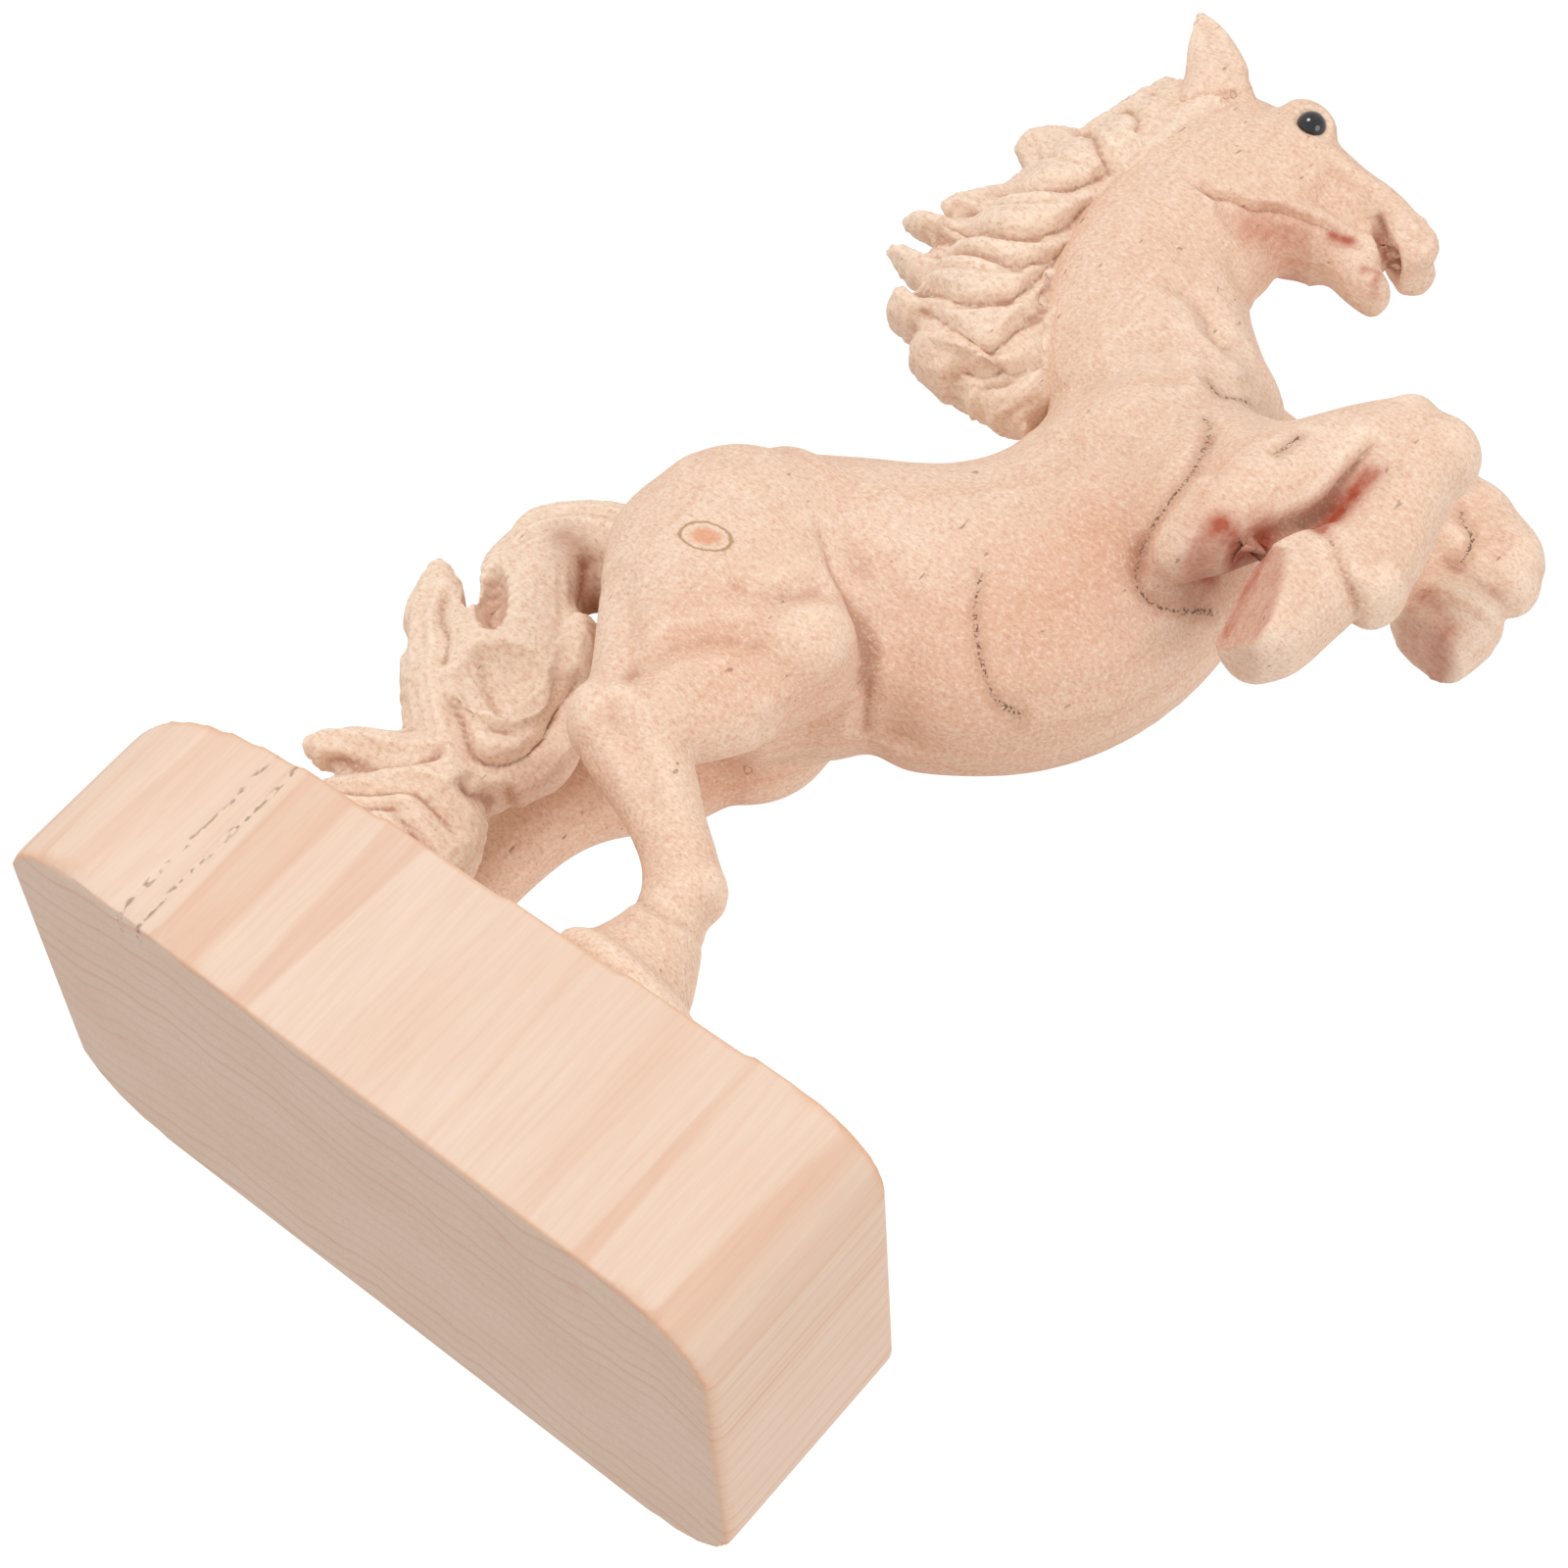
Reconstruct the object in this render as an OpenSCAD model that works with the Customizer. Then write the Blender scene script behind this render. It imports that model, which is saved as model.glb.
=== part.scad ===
// Rearing horse carved with its block from one piece of pale wood, with two bead eyes.
// +X is the way the horse faces, +Y its left side, +Z up. The origin is the middle of the underside.

/* [Block] */
// Length of the block along the horse
block_l = 79; // [64:1:100]
// Width of the block across the horse
block_w = 48; // [40:1:60]
// Height of the block at its front end
block_front_h = 23.4; // [18:0.1:30]
// Height that the block's top slopes down to at the rear end
block_rear_h = 19.8; // [16:0.1:26]
// Radius of the block's upright corners
corner_r = 9.5; // [5:0.5:15]
// Radius that eases the top edge at the front end
edge_r = 1.4; // [0.5:0.1:3]
// Length over which the top rounds off at the rear end
rear_round_l = 22; // [12:1:30]
// How far the top has come down where it meets the rear end
rear_round_h = 6; // [2:0.5:10]

/* [Horse] */
// How far the horse stands behind the middle of the block
setback = 1; // [0:0.5:3]
// Height of the carved horse, from the middle of the block's top to the ear tips
horse_h = 127.6; // [100:0.2:160]
// Width of the barrel at the belly
barrel_w = 26; // [21:0.5:32]
// Width of the hindquarters over both thighs
rump_w = 33; // [27:0.5:40]
// Width of the neck at the throat
neck_w = 15.5; // [12.5:0.5:19]
// Width of the head over the cheeks
head_w = 13.6; // [11:0.2:17]

/* [Legs] */
// Distance from the middle line to the middle of a foreleg
fore_spread = 12; // [10:0.5:15]
// Distance from the middle line to the middle of a hind foot
hind_spread = 12; // [10:0.5:15]
// Width of a leg at the cannon bone
cannon_w = 7.4; // [6:0.2:9]

/* [Hair] */
// Width of the mane across the neck
mane_w = 15; // [12:0.5:18]
// Width of the tail
tail_w = 13; // [10.5:0.5:16]

/* [Eyes] */
// Diameter of the bead eyes
eye_d = 3; // [2.4:0.1:3.7]
// How far each bead stands out of the head
eye_proud = 1; // [0.7:0.1:1.4]

/* [Hidden] */
body_sides = 20;            // points round a section of the body or a leg
body_steps = 3;             // rings from one of its stations to the next
lock_sides = 12;            // points round a section of a lock of hair
lock_steps = 2;             // rings from one of its stations to the next
dome_rings = 3;             // rings in a rounded end
drawn_h = 127.6;            // height that the outlines below are drawn at
drawn_foot = 21.5;          // height of the block's top in the outlines
s = horse_h / drawn_h;
block_mid_h = (block_front_h + block_rear_h) / 2;
sink = 1 + ((block_front_h - block_rear_h) / 2 + 0.4 * rear_round_h) / s;
foot_z = drawn_foot - sink; // the feet and tail are drawn down to here, and the block cuts them off

// Colours of the wood and of the beads
wood = "#ead0b2";
hair = "#efd6b8";
block_wood = "#e6cbac";
bead = "#26242a";

// A station is one section across a limb, seen from the side:
// [front x, front z, back x, back z, middle y, half width].
function spline(p, q, r, u, t) = 0.5 * (2 * q + (r - p) * t + (2 * p - 5 * q + 4 * r - u) * t * t
    + (3 * q - p - 3 * r + u) * t * t * t);
function row(rows, i) = rows[max(0, min(len(rows) - 1, i))];
function smooth_rows(rows, steps) = concat(
    [for (i = [0 : len(rows) - 2]) for (k = [0 : steps - 1])
        spline(row(rows, i - 1), rows[i], rows[i + 1], row(rows, i + 2), k / steps)],
    [rows[len(rows) - 1]]);
// A rounded end: the sections shrink along a quarter ellipse that reaches out by the given length.
function dome_row(last, before, out, k) =
    let (a = 90 * k / dome_rings, f = max(0.04, cos(a)),
         mid = [(last[0] + last[2]) / 2, (last[1] + last[3]) / 2],
         old = [(before[0] + before[2]) / 2, (before[1] + before[3]) / 2],
         way = (mid - old) / max(0.001, norm(mid - old)),
         half = [(last[0] - last[2]) / 2, (last[1] - last[3]) / 2],
         c = mid + way * out * sin(a))
    [c[0] + half[0] * f, c[1] + half[1] * f, c[0] - half[0] * f, c[1] - half[1] * f,
     last[4], last[5] * f];
function with_domes(rows, start, end) = let (n = len(rows)) concat(
    start > 0 ? [for (k = [dome_rings : -1 : 1]) dome_row(rows[0], rows[1], start, k)] : [],
    rows,
    end > 0 ? [for (k = [1 : dome_rings]) dome_row(rows[n - 1], rows[n - 2], end, k)] : []);
// Which way round a section's points run, so that the limb's faces always point outwards
function hand(rows) =
    let (p = rows[0], q = rows[len(rows) - 1], half = [p[0] - p[2], p[1] - p[3]],
         way = [q[0] + q[2] - p[0] - p[2], q[1] + q[3] - p[1] - p[3]])
    sign(half[0] * way[1] - half[1] * way[0]);
function ring(v, turn, sides) = [for (j = [0 : sides - 1]) let (a = turn * 360 * j / sides)
    [(v[0] + v[2]) / 2 + (v[0] - v[2]) / 2 * cos(a),
     v[4] + v[5] * sin(a),
     (v[1] + v[3]) / 2 + (v[1] - v[3]) / 2 * cos(a)]];
function lift(p) = [p[0] * s - setback, p[1] * s, (p[2] - drawn_foot) * s + block_mid_h];

// One limb: smooth sections through the stations, with a dome of the given length at each end
module limb(rows, start = 0, end = 0, sides = body_sides, steps = body_steps) {
    full = with_domes(smooth_rows(rows, steps), start, end);
    count = len(full);
    turn = hand(rows);
    points = [for (v = full) for (p = ring(v, turn, sides)) lift(p)];
    skin = [for (i = [0 : count - 2]) for (j = [0 : sides - 1])
        let (a = i * sides + j, b = i * sides + (j + 1) % sides)
        each [[a, b + sides, b], [a, a + sides, b + sides]]];
    caps = [[for (j = [0 : sides - 1]) j],
        [for (j = [sides - 1 : -1 : 0]) (count - 1) * sides + j]];
    polyhedron(points, concat(skin, caps), convexity = 6);
}

// Half widths that the stations use, in the outlines' own scale
half_barrel = barrel_w / 2 / s;
half_rump = rump_w / 2 / s;
half_neck = neck_w / 2 / s;
half_head = head_w / 2 / s;
half_cannon = cannon_w / 2 / s;
half_mane = mane_w / 2 / s;
half_tail = tail_w / 2 / s;
fore_y = fore_spread / s;
hind_y = hind_spread / s;

// ---- Block ----
module block_plan() {
    offset_x = block_l / 2 - corner_r;
    offset_y = block_w / 2 - corner_r;
    union() {
        square([block_l, 2 * offset_y], center = true);
        square([2 * offset_x, block_w], center = true);
        for (x = [-offset_x, offset_x], y = [-offset_y, offset_y])
            translate([x, y]) circle(r = corner_r, $fn = 96);
    }
}
// Side outline: the top slopes down to the rear, where a long quarter ellipse rounds it off
function top_at(x) = block_rear_h + (block_front_h - block_rear_h) * (x / block_l + 0.5);
module block_side() {
    x0 = -block_l / 2;
    x1 = block_l / 2;
    front = [for (a = [0 : 15 : 90])
        [x1 - edge_r + edge_r * cos(a), block_front_h - edge_r + edge_r * sin(a)]];
    rear = [for (a = [0 : 7.5 : 90]) let (x = x0 + rear_round_l * (1 - sin(a)))
        [x, top_at(x) - rear_round_h * (1 - cos(a))]];
    polygon(concat([[x0, 0], [x1, 0]], front, rear));
}
module base() {
    color(block_wood) intersection() {
        linear_extrude(max(block_front_h, block_rear_h) + 1) block_plan();
        rotate([90, 0, 0]) linear_extrude(block_w + 2, center = true) block_side();
    }
}

// ---- Trunk ----
module torso_form() limb([
    [0, 60, -22, 60, 0, 0.66 * half_rump],
    [6, 63.5, -26.5, 69, 0, 0.78 * half_rump],
    [13, 66.6, -25.5, 77, 0, 0.98 * half_barrel],
    [19.3, 72.2, -17, 83.6, 0, 1.0 * half_barrel],
    [23.4, 80, -8, 89, 0, 0.98 * half_barrel],
    [25, 89, -4, 95, 0, 0.94 * half_barrel],
    [24, 98, -4, 102, 0, 0.9 * half_barrel],
    [21, 106, -6, 108, 0, 0.86 * half_barrel],
    [16, 112.5, -8, 113, 0, 0.76 * half_barrel],
    [10.5, 117.5, -9, 117, 0, 0.62 * half_barrel]], 6, 3);
module neck_form() limb([
    [17, 108, -6, 103, 0, 1.32 * half_neck],
    [12.5, 116.5, -11.5, 109, 0, 1.24 * half_neck],
    [6, 122, -15, 115.5, 0, 1.1 * half_neck],
    [2.8, 125.8, -16.8, 123, 0, 1.0 * half_neck],
    [3, 130, -17.2, 130.5, 0, 0.94 * half_neck],
    [1, 134.6, -16.8, 137.5, 0, 0.86 * half_neck]], 3, 4);
module torso() color(wood) torso_form();
module neck() color(wood) difference() {
    neck_form();
    torso_form();
}

// ---- Head ----
module skull_form() limb([
    [-13, 144, -11.5, 131.5, 0, 0.8 * half_head],
    [-9.5, 145.4, -7.5, 131.6, 0, 0.94 * half_head],
    [-5, 146.2, -3.6, 132, 0, 1.0 * half_head],
    [-1, 145.4, 0.8, 133.6, 0, 0.92 * half_head],
    [3.5, 144.4, 4.2, 137, 0, 0.72 * half_head],
    [8, 143.9, 7.5, 138.5, 0, 0.62 * half_head],
    [12, 142.2, 10, 137.4, 0, 0.62 * half_head],
    [14.4, 139.8, 12.2, 136.2, 0, 0.52 * half_head]], 2.6, 1);
module jaw_form() limb([
    [-1.5, 139, -1, 129.6, 0, 0.92 * half_head],
    [2.6, 138.6, 4.2, 130.8, 0, 0.74 * half_head],
    [6.2, 138, 6.4, 132.4, 0, 0.54 * half_head],
    [9.5, 136.6, 9.2, 131.8, 0, 0.46 * half_head],
    [12.8, 134.8, 11.4, 131.7, 0, 0.44 * half_head]], 0, 1.3);
module eye_at(side) {
    eye_x = -2.9;
    eye_z = 142.9;
    bed = 0.9 * half_head * s;       // half width of the head beside the eye
    place = lift([eye_x, 0, eye_z]);
    translate([place[0], side * (bed + eye_proud - eye_d / 2), place[2]])
        sphere(d = eye_d, $fn = 48);
}
module ear_form(side) limb([
    [-9.5, 143.4, -15.5, 137.5, side * 0.6 * half_head, 0.36 * half_head],
    [-11.8, 145.4, -17.2, 141.3, side * 0.64 * half_head, 0.38 * half_head],
    [-15.2, 147.4, -19, 144.2, side * 0.68 * half_head, 0.31 * half_head],
    [-18.2, 148.6, -20.2, 146.6, side * 0.7 * half_head, 0.18 * half_head],
    [-20.7, 149.0, -21, 148.3, side * 0.7 * half_head, 0.06 * half_head]]);
module head() color(wood) difference() {
    skull_form();
    neck_form();
    torso_form();
    eye_at(-1);
    eye_at(1);
}
module lower_jaw() color(wood) difference() {
    jaw_form();
    skull_form();
    neck_form();
}
module ear(side) color(wood) difference() {
    ear_form(side);
    skull_form();
    neck_form();
}
module near_ear() ear(-1);
module off_ear() ear(1);
module near_eye() color(bead) eye_at(-1);
module off_eye() color(bead) eye_at(1);

// ---- Forelegs ----
// The near foreleg: knee high, cannon folded down against the forearm, hoof tucked under
module near_foreleg_form() {
    limb([
        [15.5, 110, 5, 97, -0.55 * fore_y, 0.4 * half_barrel],
        [19.6, 109.2, 12.5, 92, -0.8 * fore_y, 0.46 * half_barrel],
        [21.4, 110, 20.5, 88, -1.0 * fore_y, 0.46 * half_barrel],
        [23.4, 112.6, 27.5, 98, -1.06 * fore_y, 1.4 * half_cannon],
        [26, 115.4, 30.5, 105, -1.06 * fore_y, 1.3 * half_cannon],
        [29, 116.6, 32.5, 107.5, -1.06 * fore_y, 1.24 * half_cannon]], 3, 3);
    limb([
        [29, 117, 25.5, 110.5, -1.06 * fore_y, 1.16 * half_cannon],
        [34.6, 114.2, 28, 107.5, -1.06 * fore_y, 1.24 * half_cannon],
        [37, 107, 29, 103.5, -1.06 * fore_y, 1.08 * half_cannon],
        [38.7, 100, 29.6, 99, -1.06 * fore_y, 1.06 * half_cannon],
        [38.4, 95.6, 29.6, 95.6, -1.06 * fore_y, 1.14 * half_cannon]], 1.5, 1.4);
    limb([
        [37, 100, 30, 101, -1.06 * fore_y, 1.0 * half_cannon],
        [36.6, 94.6, 27, 98, -1.06 * fore_y, 1.16 * half_cannon],
        [36.2, 91, 25.7, 94.4, -1.06 * fore_y, 1.26 * half_cannon],
        [35.6, 87, 26.8, 89, -1.06 * fore_y, 1.32 * half_cannon],
        [33.8, 84.7, 27.8, 84.6, -1.06 * fore_y, 1.24 * half_cannon]], 1, 0.4);
}
// The off foreleg: raised higher, with the hoof hanging from the fetlock
module off_foreleg_form() {
    limb([
        [7.5, 121.5, 9, 105, 0.55 * fore_y, 0.4 * half_barrel],
        [13.5, 122.5, 17, 104, 0.85 * fore_y, 0.46 * half_barrel],
        [20, 126.5, 25, 111.5, 1.0 * fore_y, 1.4 * half_cannon],
        [26.5, 128.6, 29.5, 117.5, 1.0 * fore_y, 1.28 * half_cannon],
        [31, 129, 31.5, 118.5, 1.0 * fore_y, 1.2 * half_cannon]], 3, 3);
    limb([
        [28, 128.6, 28, 119.5, 1.0 * fore_y, 1.1 * half_cannon],
        [34, 127.8, 33, 118.5, 1.0 * fore_y, 1.1 * half_cannon],
        [38, 126.2, 35.5, 118, 1.0 * fore_y, 1.14 * half_cannon],
        [40, 124, 35, 116.5, 1.0 * fore_y, 1.1 * half_cannon]], 1, 0.6);
    limb([
        [39.5, 124.6, 28.6, 121.4, 1.0 * fore_y, 1.1 * half_cannon],
        [40.6, 121, 29.2, 118.4, 1.0 * fore_y, 1.14 * half_cannon],
        [40.2, 117.6, 30.2, 115.4, 1.0 * fore_y, 1.14 * half_cannon],
        [41, 114.2, 31, 112.8, 1.0 * fore_y, 1.3 * half_cannon],
        [40.2, 109.2, 30.6, 110.4, 1.0 * fore_y, 1.26 * half_cannon]], 0.6, 0);
}
module near_foreleg() color(wood) difference() {
    near_foreleg_form();
    torso_form();
    neck_form();
}
module off_foreleg() color(wood) difference() {
    off_foreleg_form();
    torso_form();
    neck_form();
}

// ---- Hind legs ----
// The near hind leg: thigh over the rump, hock low behind, foot set well forward
module near_hind_leg_form() {
    limb([
        [-3, 75, -20, 77, -0.38 * half_rump, 0.42 * half_rump],
        [1.5, 69.5, -24.2, 70, -0.48 * half_rump, 0.5 * half_rump],
        [4.4, 63.5, -24.6, 63, -0.52 * half_rump, 0.5 * half_rump],
        [4.2, 57, -20.5, 56.5, -0.86 * hind_y, 1.75 * half_cannon],
        [1.8, 50.8, -15.2, 49.5, -0.94 * hind_y, 1.4 * half_cannon],
        [-1, 46.6, -12.3, 45, -1.0 * hind_y, 1.14 * half_cannon]], 5, 3);
    limb([
        [-5.5, 49.5, -12.3, 43.4, -1.0 * hind_y, 1.1 * half_cannon],
        [0, 46, -8.6, 40.4, -1.0 * hind_y, 1.06 * half_cannon],
        [3.6, 43, -2, 38, -1.0 * hind_y, 1.0 * half_cannon],
        [7.6, 40.1, 2.4, 35.6, -1.02 * hind_y, 1.0 * half_cannon],
        [10.6, 37.4, 4.8, 32.8, -1.04 * hind_y, 1.08 * half_cannon],
        [11.4, 34, 5.2, 30.6, -1.06 * hind_y, 1.08 * half_cannon],
        [13.8, 30.2, 5, 28.4, -1.1 * hind_y, 1.24 * half_cannon],
        [16.2, 25.4, 4.4, 25.4, -1.14 * hind_y, 1.5 * half_cannon],
        [17.6, foot_z, 4, foot_z, -1.16 * hind_y, 1.6 * half_cannon]], 1.2, 0);
}
// The off hind leg: further back, with its cannon upright beside the tail
module off_hind_leg_form() limb([
    [-5, 75, -21, 77, 0.38 * half_rump, 0.42 * half_rump],
    [-2, 69.5, -25.5, 70, 0.48 * half_rump, 0.5 * half_rump],
    [-3, 62.5, -26, 63, 0.52 * half_rump, 0.48 * half_rump],
    [-4.4, 56, -24.5, 55.5, 0.8 * hind_y, 1.65 * half_cannon],
    [-7, 50.5, -23.4, 50, 0.86 * hind_y, 1.3 * half_cannon],
    [-11.5, 45.6, -24, 45.4, 0.9 * hind_y, 1.14 * half_cannon],
    [-13.4, 41, -22.4, 41, 0.9 * hind_y, 1.02 * half_cannon],
    [-14, 34.5, -21, 34.5, 0.9 * hind_y, 0.96 * half_cannon],
    [-13.6, 29.8, -21, 29.8, 0.9 * hind_y, 1.04 * half_cannon],
    [-11.4, 25.6, -21.6, 25.6, 0.9 * hind_y, 1.24 * half_cannon],
    [-10.4, foot_z, -22.2, foot_z, 0.9 * hind_y, 1.4 * half_cannon]], 5, 0);
module near_hind_leg() color(wood) difference() {
    near_hind_leg_form();
    torso_form();
    base();
}
module off_hind_leg() color(wood) difference() {
    off_hind_leg_form();
    torso_form();
    near_hind_leg_form();
    base();
}

// ---- Mane and tail ----
// A lock is a tapering limb: root, middle and tip, each [x, z], the thickness at the root, the side
// that it leans to and how far it lies off the middle line.
module lock(root, middle, tip, thick, y, wide) {
    way = (tip - root) / norm(tip - root);
    across = [-way[1], way[0]] * thick / 2;
    limb([
        [root[0] + across[0], root[1] + across[1], root[0] - across[0], root[1] - across[1], y, wide],
        [middle[0] + across[0], middle[1] + across[1], middle[0] - across[0], middle[1] - across[1],
            y, 0.9 * wide],
        [(middle[0] + tip[0]) / 2 + 0.7 * across[0], (middle[1] + tip[1]) / 2 + 0.7 * across[1],
            (middle[0] + tip[0]) / 2 - 0.7 * across[0], (middle[1] + tip[1]) / 2 - 0.7 * across[1],
            0.8 * y, 0.65 * wide],
        [tip[0] + 0.25 * across[0], tip[1] + 0.25 * across[1],
            tip[0] - 0.25 * across[0], tip[1] - 0.25 * across[1], 0.6 * y, 0.28 * wide]],
        0.5, 0.5, lock_sides, lock_steps);
}
module mane_form() {
    limb([
        [-14, 143, -20, 141.5, 0, 0.4 * half_mane],
        [-13, 137, -20.6, 135.5, 0, 0.7 * half_mane],
        [-12.5, 130, -22.5, 129.5, 0, 0.9 * half_mane],
        [-11.5, 122, -23.5, 121, 0, 0.98 * half_mane],
        [-8.5, 114, -24.5, 113, 0, 1.04 * half_mane],
        [-5, 106.5, -23.5, 106, 0, 1.06 * half_mane],
        [-4, 100.8, -20, 101, 0, 0.96 * half_mane]], 1, 2.2);
    lock([-14, 140], [-18, 141], [-20.8, 141.6], 5, 0, 0.3 * half_mane);
    lock([-14, 133], [-18.5, 134], [-22.4, 133.4], 6, 0, 0.42 * half_mane);
    lock([-14, 126], [-21.5, 127.5], [-26.8, 127], 6.4, 0, 0.5 * half_mane);
    lock([-13, 120], [-21.5, 119.5], [-28, 116.6], 6.2, 0, 0.5 * half_mane);
    lock([-13, 114], [-22.5, 114.5], [-29.8, 112.6], 4.6, 0, 0.5 * half_mane);
    lock([-12, 110], [-22.5, 110.5], [-28.8, 108.8], 4.6, 0, 0.5 * half_mane);
    lock([-9, 106], [-18, 105.4], [-24.2, 104.8], 6.0, 0, 0.7 * half_mane);
    lock([-17, 102.2], [-12, 100.8], [-4.6, 99.6], 6, 0, 0.8 * half_mane);
}
module tail_form() {
    limb([
        [-21, 61, -23.5, 69, 0, 0.56 * half_tail],
        [-24, 60, -29.5, 67.4, 0, 0.7 * half_tail],
        [-23, 57, -35, 62.6, 0, 0.78 * half_tail],
        [-20.4, 54.4, -35.8, 56.4, 0, 0.84 * half_tail],
        [-17, 51.6, -34.2, 51, 0, 0.9 * half_tail],
        [-15, 48, -35, 46.6, 0, 1.0 * half_tail],
        [-13.6, 43.5, -34.2, 42.4, 0, 1.0 * half_tail],
        [-14.8, 39.5, -30.6, 39, 0, 0.96 * half_tail],
        [-16, 36, -28, 36, 0, 0.9 * half_tail],
        [-14.5, 32, -29, 32.6, 0, 0.96 * half_tail],
        [-13.4, 27, -31.5, 28, 0, 1.04 * half_tail],
        [-13.2, foot_z, -32.5, foot_z, 0, 1.08 * half_tail]], 1, 0);
    lock([-29, 45], [-35, 49], [-39.2, 53.6], 7, 0, 0.6 * half_tail);
    lock([-24, 33], [-30.5, 32.5], [-35.4, 31], 5.6, 0, 0.6 * half_tail);
    lock([-26, 26.5], [-30, 26.2], [-33.6, 25.8], 4, 0, 0.6 * half_tail);
}
module mane() color(hair) difference() {
    mane_form();
    torso_form();
    neck_form();
    skull_form();
    ear_form(-1);
    ear_form(1);
}
module tail() color(hair) difference() {
    tail_form();
    torso_form();
    near_hind_leg_form();
    off_hind_leg_form();
    base();
}

base();
torso();
neck();
head();
lower_jaw();
near_ear();
off_ear();
mane();
tail();
near_foreleg();
off_foreleg();
near_hind_leg();
off_hind_leg();
near_eye();
off_eye();
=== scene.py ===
import math

import bpy
import numpy as np
from mathutils import Matrix, Vector


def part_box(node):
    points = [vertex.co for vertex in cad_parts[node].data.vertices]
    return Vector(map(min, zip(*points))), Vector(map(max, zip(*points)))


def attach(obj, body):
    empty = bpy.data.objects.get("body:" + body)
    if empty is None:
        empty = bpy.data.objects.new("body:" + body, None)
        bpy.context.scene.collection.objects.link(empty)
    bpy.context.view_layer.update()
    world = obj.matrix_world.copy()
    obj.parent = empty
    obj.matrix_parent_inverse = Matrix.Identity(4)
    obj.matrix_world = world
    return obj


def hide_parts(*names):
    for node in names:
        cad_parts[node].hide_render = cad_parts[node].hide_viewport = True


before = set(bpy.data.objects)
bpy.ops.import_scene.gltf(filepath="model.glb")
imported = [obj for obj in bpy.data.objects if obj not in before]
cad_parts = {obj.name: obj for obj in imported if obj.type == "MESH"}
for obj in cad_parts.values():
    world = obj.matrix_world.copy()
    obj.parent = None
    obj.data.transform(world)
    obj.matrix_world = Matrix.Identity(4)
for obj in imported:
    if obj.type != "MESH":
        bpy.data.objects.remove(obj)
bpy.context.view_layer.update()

MM = 0.001
SETBACK = 1.0           # the horse stands this far behind the middle of the block, in mm
CARVING_VOXEL = 0.56    # how finely each skin is drawn over its pieces, in mm
HAIR_VOXEL = 0.42
BLOCK_VOXEL = 0.6

# ---------------------------------------------------------------- mesh helpers


def deselect_all():
    """Nothing selected and nothing active, so the next operator meets only its own object."""
    if bpy.context.object and bpy.context.object.mode != "OBJECT":
        bpy.ops.object.mode_set(mode="OBJECT")
    bpy.ops.object.select_all(action="DESELECT")


def take(piece):
    """Makes one piece the only selected and active object."""
    deselect_all()
    piece.select_set(True)
    bpy.context.view_layer.objects.active = piece


def edit_all(piece):
    """Opens a piece for editing, with everything in it selected."""
    take(piece)
    bpy.ops.object.mode_set(mode="EDIT")
    bpy.ops.mesh.select_all(action="SELECT")


def edit_chosen(piece, kind, chosen):
    """Opens a piece for editing, with only the chosen corners (VERT) or faces (FACE) selected."""
    take(piece)
    bpy.ops.object.mode_set(mode="EDIT")
    bpy.ops.mesh.select_mode(type=kind)
    bpy.ops.mesh.select_all(action="DESELECT")
    bpy.ops.object.mode_set(mode="OBJECT")
    parts = piece.data.vertices if kind == "VERT" else piece.data.polygons
    parts.foreach_set("select", chosen)
    bpy.ops.object.mode_set(mode="EDIT")


def copy_of(node):
    """A loose copy of a CAD node, with its doubled corners merged."""
    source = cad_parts[node]
    copy = bpy.data.objects.new(node + "_copy", source.data.copy())
    bpy.context.scene.collection.objects.link(copy)
    copy.data.materials.clear()
    edit_all(copy)
    bpy.ops.mesh.remove_doubles(threshold=1e-6)
    bpy.ops.object.mode_set(mode="OBJECT")
    return copy


def ball(x, z, y, long, across, wide, tilt):
    """A stretched ball: its centre and its half sizes in mm, and its turn in the side view in degrees."""
    deselect_all()
    bpy.ops.mesh.primitive_uv_sphere_add(segments=32, ring_count=20, radius=MM)
    piece = bpy.context.object
    piece.scale = (long, wide, across)
    piece.rotation_euler = (0, -math.radians(tilt), 0)
    piece.location = ((x - SETBACK) * MM, y * MM, z * MM)
    bpy.ops.object.transform_apply(location=True, rotation=True, scale=True)
    return piece


def join(pieces, name):
    """One object from several, each still a closed body of its own."""
    deselect_all()
    for piece in pieces:
        piece.select_set(True)
    bpy.context.view_layer.objects.active = pieces[0]
    bpy.ops.object.join()
    pieces[0].name = name
    pieces[0].data.name = name
    return pieces[0]


def apply_modifier(piece, kind, **settings):
    take(piece)
    modifier = piece.modifiers.new(kind.lower(), kind)
    for key, value in settings.items():
        setattr(modifier, key, value)
    bpy.ops.object.modifier_apply(modifier=modifier.name)


def remesh(piece, voxel, smooth):
    """One skin over everything that the piece holds, with its creases softened."""
    apply_modifier(piece, "REMESH", mode="VOXEL", voxel_size=voxel * MM, adaptivity=0.0)
    keep_largest(piece)
    apply_modifier(piece, "SMOOTH", factor=0.5, iterations=smooth)


def edge_ends(piece):
    """The two corners of every edge, as two lists of numbers."""
    edges = np.empty(len(piece.data.edges) * 2, dtype=np.int32)
    piece.data.edges.foreach_get("vertices", edges)
    return edges.reshape(-1, 2).T


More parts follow.
